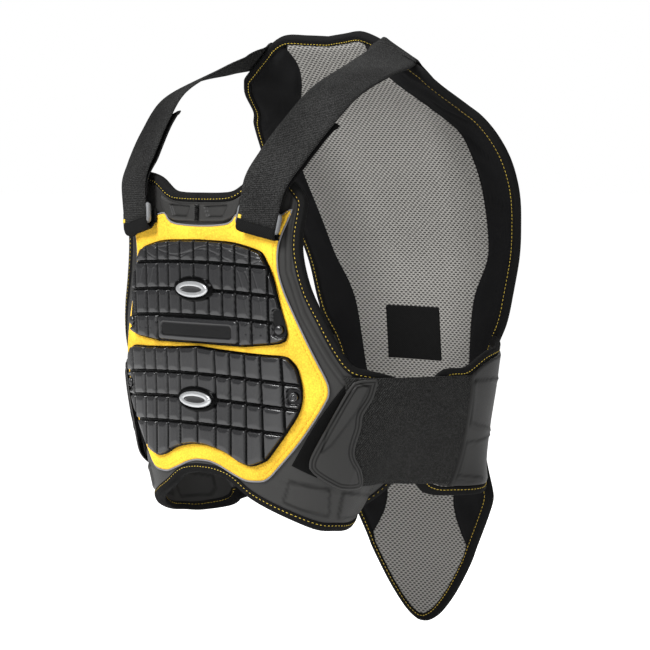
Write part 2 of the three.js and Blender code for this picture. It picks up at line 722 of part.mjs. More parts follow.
// Straps: place of the middle line between the ring and the top of the back, and the slant across
const strapRows = [
  { rear: 0, up: 0, bow: 0, tilt: -0.2, turn: 0.19 },
  { rear: 0.025, up: 0.207, bow: 0.455, tilt: -0.14, turn: 0.2 },
  { rear: 0.11, up: 0.349, bow: 0.7, tilt: -0.13, turn: 0.2 },
  { rear: 0.25, up: 0.535, bow: 0.86, tilt: -0.16, turn: 0.2 },
  { rear: 0.426, up: 0.726, bow: 1, tilt: -0.17, turn: 0.22 },
  { rear: 0.714, up: 0.875, bow: 0.8, tilt: -0.26, turn: 0.14 },
  { rear: 0.9, up: 0.955, bow: 0.4, tilt: -0.42, turn: 0.18 }
];
const ringSpot = { across: 0.395, up: 0.327 };
// Over the rim and down the outer face: across, length past the rim, distance out
const rearSpots = [
  { across: 0.57, past: -2.5, out: 1 },
  { across: 0.57, past: -1.4, out: 6.1 },
  { across: 0.56, past: 4, out: 8.5 },
  { across: 0.54, past: 18, out: 10.8 },
  { across: 0.52, past: 44, out: 13.4 },
  { across: 0.5, past: 72, out: 16 }
];
const strapFront = chestPoint(ringSpot.across * chest.wingReach, ringSpot.up * chest.height, strap.lift);
const rimRow = backTop.map(([across, down]) => ({ across, down }));
const rimDown = (across) => back.outline * follow(rimRow, 'down', 'across', across);
const rearCentre = (spot, sideways = 0) => backPoint(
  (spot.across + sideways) * back.halfWidth, rimDown(spot.across + sideways) + spot.past, spot.out
);
const strapTop = rearCentre(rearSpots[0]);

function strapStations() {
  const list = strapRows.map((row) => {
    const centre = new THREE.Vector3(
      THREE.MathUtils.lerp(strapFront.x, strapTop.x, row.rear) + strap.bow * row.bow,
      THREE.MathUtils.lerp(strapFront.y, strapTop.y, row.rear),
      THREE.MathUtils.lerp(strapFront.z, strapTop.z, row.up)
    );
    return { centre, across: new THREE.Vector3(1, row.turn, row.tilt).normalize() };
  });
  rearSpots.forEach((spot) => {
    const sideways = rearCentre(spot, 0.05).sub(rearCentre(spot, -0.05)).normalize();
    list.push({ centre: rearCentre(spot), across: sideways });
  });
  return list;
}

// Ribbon between two lengths of the strap, at a depth below its outer face
function strapFrames(steps) {
  const stations = strapStations();
  const path = new THREE.CatmullRomCurve3(stations.map((s) => s.centre), false, 'centripetal');
  const slant = new THREE.CatmullRomCurve3(stations.map((s) => s.across), false, 'centripetal');
  const frames = [];
  for (let i = 0; i <= steps; i += 1) {
    const t = path.getUtoTmapping(i / steps);
    const along = path.getTangent(t);
    const across = slant.getPoint(t).normalize();
    const out = across.clone().cross(along).normalize();
    frames.push({ centre: path.getPoint(t), along, across: along.clone().cross(out).normalize(), out });
  }
  return { frames, length: path.getLength() };
}

function ribbonSection(frame, width, high, low) {
  const at = (x, y) => frame.centre.clone()
    .addScaledVector(frame.across, x * width / 2).addScaledVector(frame.out, y);
  return [at(-1, low), at(1, low), at(1, high), at(-1, high)];
}

const strapSteps = 24;
const { frames: strapLine, length: strapLength } = strapFrames(strapSteps);
const strapWidthAt = (share) => {
  const rise = THREE.MathUtils.smoothstep(share, 0, 0.22);
  const fall = THREE.MathUtils.smoothstep(share, 0.55, 0.85);
  return strap.ringWidth + (strap.width - strap.ringWidth) * rise - (strap.width - strap.rearWidth) * fall;
};
addPair('shoulder_strap', skin(strapLine.map((frame, i) => ribbonSection(
  frame, strapWidthAt(i / strapSteps), strap.thickness / 2, -strap.thickness / 2
))), finish.elastic);

// The end that folds back behind the strap above the ring
const endFrames = strapLine.filter((frame, i) => i >= 1 && i * strapLength / strapSteps < strap.endLength + 20);
addPair('strap_end', skin(endFrames.map((frame, i) => ribbonSection(
  frame, strapWidthAt((i + 1) / strapSteps) - 2, -strap.thickness / 2 - gap, -strap.thickness / 2 - gap - strap.endThickness
))), finish.webbing);

// Slotted ring at the foot of the strap, between the strap and the chest
const ringFrame = strapLine[0];
const ringShape = new THREE.Shape();
ringShape.moveTo(-ring.width / 2, -ring.height / 2);
ringShape.lineTo(ring.width / 2, -ring.height / 2);
ringShape.lineTo(ring.width / 2, ring.height / 2);
ringShape.lineTo(-ring.width / 2, ring.height / 2);
ringShape.closePath();
const slot = new THREE.Path();
slot.moveTo(-ring.width / 2 + ring.bar, -ring.height / 2 + ring.bar);
slot.lineTo(-ring.width / 2 + ring.bar, ring.height / 2 - ring.bar);
slot.lineTo(ring.width / 2 - ring.bar, ring.height / 2 - ring.bar);
slot.lineTo(ring.width / 2 - ring.bar, -ring.height / 2 + ring.bar);
slot.closePath();
ringShape.holes.push(slot);
const ringBody = new THREE.ExtrudeGeometry(ringShape, { depth: ring.thickness, bevelEnabled: false });
{
  const basis = new THREE.Matrix4().makeBasis(ringFrame.across, ringFrame.along, ringFrame.out.clone().negate());
  const below = strap.thickness / 2 + gap + ring.thickness;
  const place = ringFrame.centre.clone().addScaledVector(ringFrame.out, -below)
    .addScaledVector(ringFrame.along, -ring.height / 2 + ring.bar);
  basis.setPosition(place);
  ringBody.applyMatrix4(basis);
}
addPair('strap_ring', weld(indexed(ringBody)), finish.greyPlastic);

function indexed(shape) {
  const count = shape.getAttribute('position').count;
  shape.setIndex(Array.from({ length: count }, (unused, i) => i));
  return shape;
}

// Woven tab that holds the ring on the chest
const tabCorners = [[0.285, 0.346], [0.47, 0.311], [0.476, 0.263], [0.279, 0.308]];
const tabGrid = [];
for (let j = 0; j <= 2; j += 1) {
  const row = [];
  for (let i = 0; i <= 4; i += 1) {
    const top = new THREE.Vector2(...tabCorners[0]).lerp(new THREE.Vector2(...tabCorners[1]), i / 4);
    const low = new THREE.Vector2(...tabCorners[3]).lerp(new THREE.Vector2(...tabCorners[2]), i / 4);
    const p = top.lerp(low, j / 2);
    row.push(new THREE.Vector2(p.x * chest.wingReach, p.y * chest.height));
  }
  tabGrid.push(row);
}
addPair('strap_tab', sheetOn(
  chestPoint, tabGrid, overlayTop + layerStep + strapTab.thickness, overlayTop + layerStep
), finish.webbing);

// Hook and loop patch, tab and elastic of the belt, over the wing and the flank
const wingAt = (p) => new THREE.Vector2(p[0] * chest.wingReach - chest.wingReach, p[1] * chest.height);
function strip(top, bottom, columns, rows) {
  const upper = new THREE.SplineCurve(top.map(wingAt)).getSpacedPoints(columns);
  const lower = new THREE.SplineCurve(bottom.map(wingAt)).getSpacedPoints(columns);
  const grid = [];
  for (let j = 0; j <= rows; j += 1) grid.push(upper.map((p, i) => p.clone().lerp(lower[i], j / rows)));
  return grid;
}
const patchTop = layerStep + belt.patch;
addPair('hook_patch', sheetOn(flankPoint, strip(
  [[0.487, -0.355], [0.59, -0.25], [0.69, -0.165], [0.777, -0.101]],
  [[0.59, -0.388], [0.69, -0.3], [0.79, -0.21], [0.86, -0.135]], 7, 2
), patchTop, layerStep), finish.lining);

const elasticLow = patchTop + layerStep + gap;
const elasticTop = elasticLow + belt.thickness;
const elasticFront = 0.74 * chest.wingReach - chest.wingReach;
const elasticGrid = [];
const elasticColumns = 11;
const elasticRows = 4;
for (let j = 0; j <= elasticRows; j += 1) {
  const row = [];
  for (let i = 0; i <= elasticColumns; i += 1) {
    const share = i / elasticColumns;
    const up = THREE.MathUtils.lerp(belt.top - belt.flare * 0.8 * share, belt.bottom - belt.flare * share, j / elasticRows);
    const slant = (0.5 - j / elasticRows) * flap.slant;
    row.push(new THREE.Vector2(THREE.MathUtils.lerp(elasticFront, flap.seam - layerStep + slant, share), up));
  }
  elasticGrid.push(row);
}
addPair('belt_elastic', sheetOn(flankPoint, elasticGrid, elasticTop, elasticLow), finish.elastic);

const tabLow = elasticTop + layerStep + 2 * gap;
addPair('belt_tab', sheetOn(flankPoint, strip(
  [[0.564, -0.36], [0.578, -0.324], [0.665, -0.228], [0.755, -0.134], [0.793, -0.115], [0.867, -0.111]],
  [[0.58, -0.377], [0.626, -0.402], [0.685, -0.423], [0.775, -0.421], [0.779, -0.376], [0.75, -0.32],
    [0.785, -0.25], [0.8, -0.21], [0.845, -0.165], [0.872, -0.118]],
  9, 3
), tabLow + belt.tabThickness, tabLow), finish.leatherette);

// Flap of the back shell that carries the rear of the elastic: shares along the flank and of the chest's height
const flapRows = [
  { along: 0, top: -0.153, bottom: -0.406 },
  { along: 0.12, top: -0.135, bottom: -0.441 },
  { along: 0.35, top: -0.118, bottom: -0.444 },
  { along: 0.6, top: -0.103, bottom: -0.453 },
  { along: 0.8, top: -0.088, bottom: -0.459 },
  { along: 1, top: -0.068, bottom: -0.462 }
];
const flapColumns = 9;
const flapFront = 3;              // columns ahead of the seam
const flapLines = 3;
const flapEnd = flankLength((belt.top + belt.bottom) / 2);
function flapGrid(margin) {
  const grid = [];
  for (let j = 0; j <= flapLines; j += 1) {
    const row = [];
    for (let i = 0; i <= flapColumns; i += 1) {
      const seam = flap.seam + (0.5 - j / flapLines) * flap.slant;
      const ahead = i <= flapFront;
      const step = ahead ? i / flapFront : (i - flapFront - 1) / (flapColumns - flapFront - 1);
      const near = ahead ? THREE.MathUtils.lerp(flap.front, seam, step) : THREE.MathUtils.lerp(seam, flapEnd, step);
      const share = (near - flap.front) / (flapEnd - flap.front);
      const top = chest.height * follow(flapRows, 'top', 'along', share) - margin;
      const bottom = chest.height * follow(flapRows, 'bottom', 'along', share) + margin;
      const up = THREE.MathUtils.lerp(top, bottom, j / flapLines);
      const along = ahead
        ? THREE.MathUtils.lerp(flap.front + margin, seam, step)
        : THREE.MathUtils.lerp(seam + flap.fold, flankLength(up), step);
      row.push(new THREE.Vector2(along, up));
    }
    grid.push(row);
  }
  return grid;
}
const flapLevel = elasticLow - layerStep - gap;
addPair('belt_flap', sheetOn(flankPoint, flapGrid(binding.width + layerStep), (s, t, p) => (
  p.x > flap.seam + (0.5 - t) * flap.slant + flap.fold / 2 ? elasticTop : flapLevel
), flapLevel - flap.thickness), finish.leatherette);

// Top edge forwards, front end and bottom edge backwards
function openRim(grid) {
  const frontEnd = grid.slice(1, -1).map((row) => row[0]);
  return [...[...grid[0]].reverse(), ...frontEnd, ...grid[grid.length - 1]];
}
addPair('flap_binding', braid(
  flankPoint, openRim(flapGrid(0)), openRim(flapGrid(binding.width)),
  flapLevel - flap.thickness - binding.proud, flapLevel + binding.proud / 2, false
), finish.braid);

export default vest;
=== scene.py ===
# Motorcycle armour vest, worn on an unseen body that faces -Y. Shapes are worked out in millimetres
# round the middle of the torso, then put in the row frame in metres.
import json
import math

import bpy
import numpy as np
from mathutils import Matrix, Vector

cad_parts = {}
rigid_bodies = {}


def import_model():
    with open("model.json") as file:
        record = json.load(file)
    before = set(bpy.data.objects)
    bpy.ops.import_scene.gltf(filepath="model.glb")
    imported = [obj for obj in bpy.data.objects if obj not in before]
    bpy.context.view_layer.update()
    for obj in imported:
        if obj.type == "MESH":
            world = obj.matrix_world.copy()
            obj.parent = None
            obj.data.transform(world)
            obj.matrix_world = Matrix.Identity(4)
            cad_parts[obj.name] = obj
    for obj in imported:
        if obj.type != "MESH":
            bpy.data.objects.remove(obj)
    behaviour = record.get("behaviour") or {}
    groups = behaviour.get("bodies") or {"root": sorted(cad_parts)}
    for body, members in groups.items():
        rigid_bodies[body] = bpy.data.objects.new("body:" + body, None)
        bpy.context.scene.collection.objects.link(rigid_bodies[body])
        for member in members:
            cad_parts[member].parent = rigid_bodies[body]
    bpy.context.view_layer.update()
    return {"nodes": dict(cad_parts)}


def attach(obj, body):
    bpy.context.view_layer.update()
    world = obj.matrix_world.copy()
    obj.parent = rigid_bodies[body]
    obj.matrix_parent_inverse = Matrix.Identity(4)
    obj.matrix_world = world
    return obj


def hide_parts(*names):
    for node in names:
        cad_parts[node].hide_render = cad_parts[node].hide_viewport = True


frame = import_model()


# the picture's camera: degrees round from the front and up, metres away, lens and sensor in mm
view = {"turn": 46, "lift": 3.6, "away": 2.56, "lens": 36 * 2560 / 650, "sensor": 36, "aim": (0, .025, -.252)}
camTurn, camLift = math.radians(view["turn"]), math.radians(view["lift"])
camAim = np.array(view["aim"])
camOut = np.array([math.sin(camTurn) * math.cos(camLift), -math.cos(camTurn) * math.cos(camLift),
                   math.sin(camLift)])
camRight = np.array([math.cos(camTurn), math.sin(camTurn), 0])
camera = bpy.data.objects.new("camera", bpy.data.cameras.new("camera"))
camera.data.lens, camera.data.sensor_width = view["lens"], view["sensor"]
camera.location = camAim + camOut * view["away"]
camUp = np.cross(camOut, camRight)
camera.rotation_euler = Matrix(np.stack([camRight, camUp, camOut], 1).tolist()).to_euler()
bpy.context.scene.collection.objects.link(camera)
bpy.context.scene.camera = camera

# driving sizes in millimetres
seat = {"forward": 25, "height": 252}      # the straps' undersides from the middle of the torso
chest = {"height": 340, "reach": 220, "depth": 165, "thick": 8, "flat": 80, "turn": 130,
         "frontRadius": 600, "turnRadius": 170, "sideRadius": 90}
back = {"height": 577, "half": 174, "depth": 142, "radius": 1450, "outline": 627, "edge": 5, "crown": 13}
bindWidth, bindProud, bindStep = 9, .9, 4   # braid: its width, how far it stands off, its sections' spacing
stitch = {"pitch": 4.1, "length": 2.5, "width": .75, "rise": .35}



def rowsOf(names, rows):
    # each row of numbers as a dictionary with these names
    return [dict(zip(names.split(), row)) for row in rows]


# shares of the sizes above: the chest by height, the back from its top edge down
chestRows = rowsOf("up depth wide", (
    (.47, .994, 1.06), (.324, 1.006, 1.06), (.124, 1, 1.06), (-.044, .988, 1.02),
    (-.176, .976, .955), (-.294, .976, .85), (-.412, .976, .74), (-.559, .958, .61)))
backRows = rowsOf("rear up round", (
    (-.014, .4974, .29), (.228, .4315, .3), (.441, .3726, .55), (.703, .2513, 1), (.807, .1889, .97),
    (.89, .1248, .81), (.931, .0399, .55), (.952, -.0156, .43), (.972, -.0832, .4), (.993, -.26, .38),
    (1, -.409, .38), (1, -.555, .38)))


def through(pairs, at):
    # cubic Hermite through pairs of place and value, end slopes carried straight on
    x, y = np.array(sorted(pairs), float).T
    step = np.diff(x)
    slope = np.diff(y) / step
    inner = (slope[:-1] * step[1:] + slope[1:] * step[:-1]) / (step[1:] + step[:-1])
    m = np.concatenate([slope[:1], inner, slope[-1:]])
    at = np.asarray(at, float)
    i = np.clip(np.searchsorted(x, at) - 1, 0, len(step) - 1)
    h = step[i]
    q = np.clip((at - x[i]) / h, 0, 1)
    inside = ((1 + 2 * q) * (1 - q) ** 2 * y[i] + q * (1 - q) ** 2 * h * m[i]
              + q * q * (3 - 2 * q) * y[i + 1] + q * q * (q - 1) * h * m[i + 1])
    return inside + np.minimum(at - x[0], 0) * m[0] + np.maximum(at - x[-1], 0) * m[-1]


def follow(rows, key, by, at):
    # one column of the rows read by another
    return through([(r[by], r[key]) for r in rows], at)


def chestPoint(across, up, out=0):
    # three arcs end to end across, widened and set back by height, moved out along the arc's normal
    across, up, out = np.broadcast_arrays(*(np.asarray(v, float) for v in (across, up, out)))
    share = up / chest["height"]
    wide = follow(chestRows, "wide", "up", share)
    depth = chest["depth"] * follow(chestRows, "depth", "up", share)
    run = np.abs(across) / wide
    a = np.minimum(run, chest["flat"]) / chest["frontRadius"]
    b = a + np.clip(run - chest["flat"], 0, chest["turn"] - chest["flat"]) / chest["turnRadius"]
    c = b + np.maximum(run - chest["turn"], 0) / chest["sideRadius"]
    side = (chest["frontRadius"] * np.sin(a) + chest["turnRadius"] * (np.sin(b) - np.sin(a))
            + chest["sideRadius"] * (np.sin(c) - np.sin(b)))
    fall = (chest["frontRadius"] * (1 - np.cos(a)) + chest["turnRadius"] * (np.cos(a) - np.cos(b))
            + chest["sideRadius"] * (np.cos(b) - np.cos(c)))
    sign = np.where(across < 0, -1, 1)
    return np.stack([sign * (side * wide + out * np.sin(c)), -depth + fall * wide - out * np.cos(c), up], -1)


def spineTable():
    # back centre line, sampled by its chord, then by its length from the top
    rear, up = np.array([[r["rear"] * back["depth"], r["up"] * back["height"]] for r in backRows]).T
    chord = np.concatenate([[0], np.cumsum(np.hypot(np.diff(rear), np.diff(up)))])
    rows = [dict(r, chord=c) for r, c in zip(backRows, chord)]
    at = np.linspace(0, chord[-1], 401)
    line = [size * follow(rows, key, "chord", at)
            for size, key in ((back["depth"], "rear"), (back["height"], "up"), (back["radius"], "round"))]
    length = np.concatenate([[0], np.cumsum(np.hypot(np.diff(line[0]), np.diff(line[1])))])
    return [length, *line]


spine = spineTable()


def backPoint(across, down, out=0):
    # circle across, set on the centre line at a length from the top, moved out along its normal
    across, down, out = np.broadcast_arrays(*(np.asarray(v, float) for v in (across, down, out)))
    length, rear, up, radius = spine
    at = np.clip(down, 1, length[-1] - 1)
    ty = np.interp(at + 1, length, rear) - np.interp(at - 1, length, rear)
    tz = np.interp(at + 1, length, up) - np.interp(at - 1, length, up)
    size = np.hypot(ty, tz)
    ty, tz = ty / size, tz / size
    past = down - np.clip(down, 0, length[-1])
    y = np.interp(down, length, rear) + past * ty
    z = np.interp(down, length, up) + past * tz
    r = np.interp(down, length, radius)
    turn = across / r
    inward = r * (1 - np.cos(turn)) - out * np.cos(turn)
    return np.stack([r * np.sin(turn) + out * np.sin(turn), y + tz * inward, z - ty * inward], -1)


def downAtHeight(up):
    # length from the back's top at which its middle line has this height
    return np.interp(-np.asarray(up, float), -spine[2], spine[0])


def line2(rows, across, up, shares):
    # Catmull-Rom through the rows' shares of two sizes, read at shares of its length
    p = np.array(rows, float) * (across, up)
    t = np.linspace(0, len(p) - 1, 60 * len(p))
    i = np.minimum(t.astype(int), len(p) - 2)
    q = (t - i)[:, None]
    p0, p1, p2, p3 = p[np.maximum(i - 1, 0)], p[i], p[i + 1], p[np.minimum(i + 2, len(p) - 1)]
    v0, v1 = (p2 - p0) / 2, (p3 - p1) / 2
    curve = (2 * p1 - 2 * p2 + v0 + v1) * q ** 3 + (-3 * p1 + 3 * p2 - 2 * v0 - v1) * q ** 2 + v0 * q + p1
    run = np.concatenate([[0], np.cumsum(np.hypot(*np.diff(curve, axis=0).T))])
    at = np.asarray(shares) * run[-1]
    return np.stack([np.interp(at, run, curve[:, 0]), np.interp(at, run, curve[:, 1])], -1)


def eased(count, ends=.55):
    # shares from 0 to 1 that crowd towards both ends
    t = np.linspace(0, 1, count)
    return (1 - ends) * t + ends * (.5 - .5 * np.cos(np.pi * t))


def halfOutline(shape, across, up, columns, rows, ends=.55):
    # top, flank and bottom lines, the columns crowding outwards and the rows towards both ends
    even = np.linspace(0, 1, columns)
    col = np.sin(even * np.pi / 2) * ends + even * (1 - ends)
    return (line2(shape["top"], across, up, col), line2(shape["flank"], across, up, eased(rows, ends)),
            line2(shape["bottom"], across, up, 1 - col[::-1]))


def loopOf(half):
    # half outline and its mirror image as one closed loop
    top, flank, bottom = half
    right = np.concatenate([top, flank[1:], bottom[1:]])
    return np.concatenate([right, right[1:-1][::-1] * (-1, 1)])


def unit(vectors):
    # each vector divided by its length
    return vectors / np.linalg.norm(vectors, axis=-1, keepdims=True)


def moved(loop, distance):
    # every point moved inwards across the line through its neighbours
    heading = np.roll(loop, -1, 0) - np.roll(loop, 1, 0)
    heading /= np.hypot(*heading.T)[:, None]
    area = np.sum(loop[:, 0] * np.roll(loop[:, 1], -1) - loop[:, 1] * np.roll(loop[:, 0], -1))
    turn = 1 if area < 0 else -1
    return loop + np.stack([heading[:, 1], -heading[:, 0]], -1) * turn * distance


def movedHalf(half, distance):
    # the whole loop moved inwards, then cut at the half's own corners
    loop = moved(loopOf(half), distance)
    a, b = len(half[0]) - 1, len(half[0]) + len(half[1]) - 2
    c = b + len(half[2]) - 1
    return loop[:a + 1], loop[a:b + 1], loop[b:c + 1]


def patch(half):
    # Coons patch of a half outline: middle line straight, sides blended
    top, flank, bottom = half[0], half[1], half[2][::-1]
    # across, even shares and those of the top's own spacing, half each; down, those of the flank's length
    s = np.linspace(0, 1, len(top))[None, :, None]
    s = (np.linalg.norm(top - top[0], axis=1) / np.linalg.norm(top[-1] - top[0]))[None, :, None] * .5 + s * .5
    run = np.concatenate([[0], np.cumsum(np.hypot(*np.diff(flank, axis=0).T))])
    t = (run / run[-1])[:, None, None]
    middle = top[0] * (1 - t) + bottom[0] * t
    across = middle * (1 - s) + flank[:, None] * s
    along = top[None] * (1 - t) + bottom[None] * t
    corners = (top[0] * (1 - s) + top[-1] * s) * (1 - t) + (bottom[0] * (1 - s) + bottom[-1] * s) * t
    return across + along - corners


def mirrored(grid):
    # right half reflected to the left, the middle column kept once
    return np.concatenate([grid[:, :0:-1] * (-1, 1), grid], 1)


def rimDistance(points, loop):
    # distance from each point to the nearest edge of a closed loop
    flat = points.reshape(-1, 2)
    a, b = loop, np.roll(loop, -1, 0)
    ab = b - a
    best = np.full(len(flat), 1e9)
    for k in range(0, len(a), 16):
        d = flat[:, None] - a[None, k:k + 16]
        t = np.clip((d * ab[None, k:k + 16]).sum(-1) / (ab[k:k + 16] ** 2).sum(-1), 0, 1)
        best = np.minimum(best, np.linalg.norm(d - t[..., None] * ab[None, k:k + 16], axis=-1).min(1))
    return best.reshape(points.shape[:-1])


def rounded(distance, radius, height):
    # quarter circle that rises from the rim to the full height
    t = np.clip(distance / radius, 0, 1)
    return height * np.sqrt(1 - (1 - t) ** 2)


def smooth(x, low, high):
    # 0 at low, 1 at high, level at both
    t = np.clip((x - low) / (high - low), 0, 1)
    return t * t * (3 - 2 * t)


def ridge(distance, width):
    # bell curve, 1 on the line and small beyond its width
    return np.exp(-(distance / width) ** 2)


def rimOf(grid):
    # the four sides of a grid as one closed loop
    return np.concatenate([grid[0], grid[1:, -1], grid[-1, -2::-1], grid[-2:0:-1, 0]])


def edgeDistance(grid):
    # distance from each point of a grid to its rim
    return rimDistance(grid, rimOf(grid))


def placed(points):
    # torso millimetres to the row frame's metres
    return (np.asarray(points).reshape(-1, 3) + (0, seat["forward"], -seat["height"])) / 1000


def signedVolume(points, quads):
    # sum of the tetrahedra from the origin, positive when the faces point outwards
    a, b, c, d = (points[quads[:, i]] for i in range(4))
    return float((a * np.cross(b, c)).sum() + (a * np.cross(c, d)).sum())


def meshPiece(name, points, quads, material, uv=None, closed=True):
    # quads may repeat their last corner: those become triangles
    points = placed(points)
    quads = np.asarray(quads, int)
    middle = points.mean(0)
    if closed and signedVolume(points - middle, quads) < 0:
        quads = quads[:, ::-1]
    same = (quads[:, 3] == quads[:, 2]) | (quads[:, 0] == quads[:, 3]) | (quads[:, 0] == quads[:, 1])
    faces = [tuple(dict.fromkeys(q)) for q in quads[same].tolist()]
    faces += [tuple(q) for q in quads[~same].tolist()]
    mesh = bpy.data.meshes.new(name)
    mesh.from_pydata(points.tolist(), [], faces)
    mesh.shade_smooth()
    if uv is not None:
        corner = np.zeros(len(mesh.loops), int)
        mesh.loops.foreach_get("vertex_index", corner)
        layer = mesh.uv_layers.new(name="flat")
        layer.data.foreach_set("uv", (np.asarray(uv).reshape(-1, 2)[corner] / 1000).ravel())
    mesh.materials.append(material)
    piece = bpy.data.objects.new(name, mesh)
    bpy.context.scene.collection.objects.link(piece)
    return piece


def paintedShadeOf(piece, tone):
    # painted shade: grooves and recesses marked darker, on both faces of a slab
    layer = piece.data.attributes.new("tone", "FLOAT", "POINT")
    layer.data.foreach_set("value", np.concatenate([tone.ravel(), tone.ravel()]).astype(np.float32))


def gridQuads(rows, columns, start=0):
    # one quad for each cell, numbered row by row
    k = (np.arange(rows - 1)[:, None] * columns + np.arange(columns - 1)[None]).ravel() + start
    return np.stack([k, k + 1, k + columns + 1, k + columns], -1)


def slabQuads(rows, columns):
    # two grids of one layout and the wall round their rims
    count = rows * columns
    rim = np.concatenate([np.arange(columns), np.arange(2, rows + 1) * columns - 1,
                          (rows - 1) * columns + np.arange(columns - 2, -1, -1),
                          np.arange(rows - 2, 0, -1) * columns])
    after = np.roll(rim, -1)
    return np.concatenate([gridQuads(rows, columns), gridQuads(rows, columns, count)[:, ::-1],
                           np.stack([rim, count + rim, count + after, after], -1)])


def slabPiece(name, surface, grid, outer, inner, material, uv=None):
    # one grid laid on a surface at two depths, its own places as UV
    points = np.concatenate([surface(grid[..., 0], grid[..., 1], out).reshape(-1, 3) for out in (outer, inner)])
    flat = np.concatenate([(grid if uv is None else uv).reshape(-1, 2)] * 2)
    return meshPiece(name, points, slabQuads(*grid.shape[:2]), material, flat)


def tubeQuads(sections, size, closed):
    # quads between neighbouring sections, and a fan of triangles on each end of an open tube
    last = sections if closed else sections - 1
    j, i = np.meshgrid(np.arange(last), np.arange(size), indexing="ij")
    j, i = j.ravel(), i.ravel()
    here, after, k = j * size, (j + 1) % sections * size, (i + 1) % size
    quads = [np.stack([here + i, here + k, after + k, after + i], -1)]
    if not closed:
        n = np.arange(1, size - 1)
        end = (sections - 1) * size
        quads += [np.stack([0 * n, n + 1, n, n], -1),
                  np.stack([end + 0 * n, end + n, end + n + 1, end + n + 1], -1)]
    return np.concatenate(quads)


def runOf(path, closed=False):
    # running length at each point
    path = np.concatenate([path, path[:1]]) if closed else path
    return np.concatenate([[0], np.cumsum(np.linalg.norm(np.diff(path, axis=0), axis=1))])


def spacedLoop(loop, step, closed=True):
    # the line read at even steps of about this length
    run = runOf(loop, closed)
    full = np.concatenate([loop, loop[:1]]) if closed else loop
    count = max(3, int(round(run[-1] / step)))
    at = np.linspace(0, run[-1], count + (0 if closed else 1), endpoint=not closed)
    return np.stack([np.interp(at, run, full[:, k]) for k in range(full.shape[1])], -1)


def bandSection():
    # folded band: half circle over the rim, a slight crown on both faces, closed at its inner side
    turn = np.linspace(-np.pi / 2, np.pi / 2, 9)
    fold = np.stack([.22 * (1 - np.cos(turn)), .5 + .5 * np.sin(turn)], -1)
    upper = [[.55, 1.06], [.85, 1.02], [.97, .93], [1, .8]]
    lower = [[1, .2], [.97, .07], [.85, -.02], [.55, -.06]]
    return np.concatenate([fold, upper, lower])


def bandPiece(name, surface, rim, inner, low, high, material, closed=True):
    # the section carried along the rim, from the rim to the inner line and between two depths
    section = bandSection()
    flat = rim[:, None] * (1 - section[None, :, :1]) + inner[:, None] * section[None, :, :1]
    out = low + (high - low) * section[None, :, 1] + np.zeros(flat.shape[:2])
    points = surface(flat[..., 0], flat[..., 1], out)
    run = runOf(rim, closed)[:len(rim)]
    around = np.cumsum(np.r_[0, np.hypot(*(np.diff(section, axis=0) * (bindWidth, high - low)).T)])
    uv = np.stack(np.broadcast_arrays(run[:, None], around[None]), -1)
    return meshPiece(name, points, tubeQuads(len(rim), len(section), closed), material, uv)


def stitchPiece(name, rows, material):
    # rows of surface, path, out and closed: a flat lozenge with a raised back at each pitch
    template = np.array([[x, y, z] for x, w in ((-.5, .45), (-.25, 1), (.25, 1), (.5, .45))
                         for y, z in ((-.5 * w, -.4), (.5 * w, -.4), (.32 * w, .6 * w), (-.32 * w, .6 * w))])
    size = len(template)
    template = template * (stitch["length"], stitch["width"], stitch["rise"])
    points, quads, base = [], [], tubeQuads(4, 4, False)
    count = 0
    for surface, path, out, closed in rows:
        spots = spacedLoop(path, stitch["pitch"], closed)
        ahead = np.roll(spots, -1, 0) - np.roll(spots, 1, 0)
        if not closed:
            ahead[0], ahead[-1] = spots[1] - spots[0], spots[-1] - spots[-2]
        ahead = unit(ahead)
        centre = surface(spots[:, 0], spots[:, 1], out)
        along = surface(spots[:, 0] + ahead[:, 0], spots[:, 1] + ahead[:, 1], out) - centre
        along = unit(along)
        normal = surface(spots[:, 0], spots[:, 1], np.asarray(out) + 1) - centre
        normal = unit(normal)
        sideways = np.cross(normal, along)
        body = (centre[:, None] + template[None, :, :1] * along[:, None]
                + template[None, :, 1:2] * sideways[:, None] + template[None, :, 2:] * normal[:, None])
        points.append(body.reshape(-1, 3))
        quads.append((base[None] + (np.arange(len(spots)) * size)[:, None, None] + count).reshape(-1, 4))
        count += len(spots) * size
    return meshPiece(name, np.concatenate(points), np.concatenate(quads), material)


def flipPiece(piece, name):
    # the same piece on the wearer's right
    mesh = piece.data.copy()
    co = np.zeros(len(mesh.vertices) * 3, np.float32)
    mesh.vertices.foreach_get("co", co)
    co[::3] *= -1
    mesh.vertices.foreach_set("co", co)
    mesh.flip_normals()
    mesh.update()
    other = bpy.data.objects.new(name, mesh)
    bpy.context.scene.collection.objects.link(other)
    return other


def standsFor(node):
    # finished piece in place of a plain node, which is hidden
    if node:
        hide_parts(node)


def bothStandFor(left, node):
    # the left piece and its mirror image, for the nodes of the two sides
    right = flipPiece(left, left.name.replace("left", "right"))
    standsFor(node)
    standsFor(node and node.replace("left", "right"))



def newMaterial(name, colour, rough, metal=0., gloss=.5):
    # plain shader with its constants on the sockets
    material = bpy.data.materials.new(name)
    material.use_nodes = True
    shader = material.node_tree.nodes["Principled BSDF"]
    shader.inputs["Base Color"].default_value = (*colour, 1)
    shader.inputs["Roughness"].default_value = rough
    shader.inputs["Metallic"].default_value = metal
    shader.inputs["Specular IOR Level"].default_value = gloss
    return material, material.node_tree.nodes, material.node_tree.links, shader


def addNode(nodes, kind, **values):
    # each value is the node's own setting, or else the input of that name
    node = nodes.new(kind)
    for key, value in values.items():
        if hasattr(node, key):
            setattr(node, key, value)
        else:
            node.inputs[key.replace("_", " ")].default_value = value
    return node


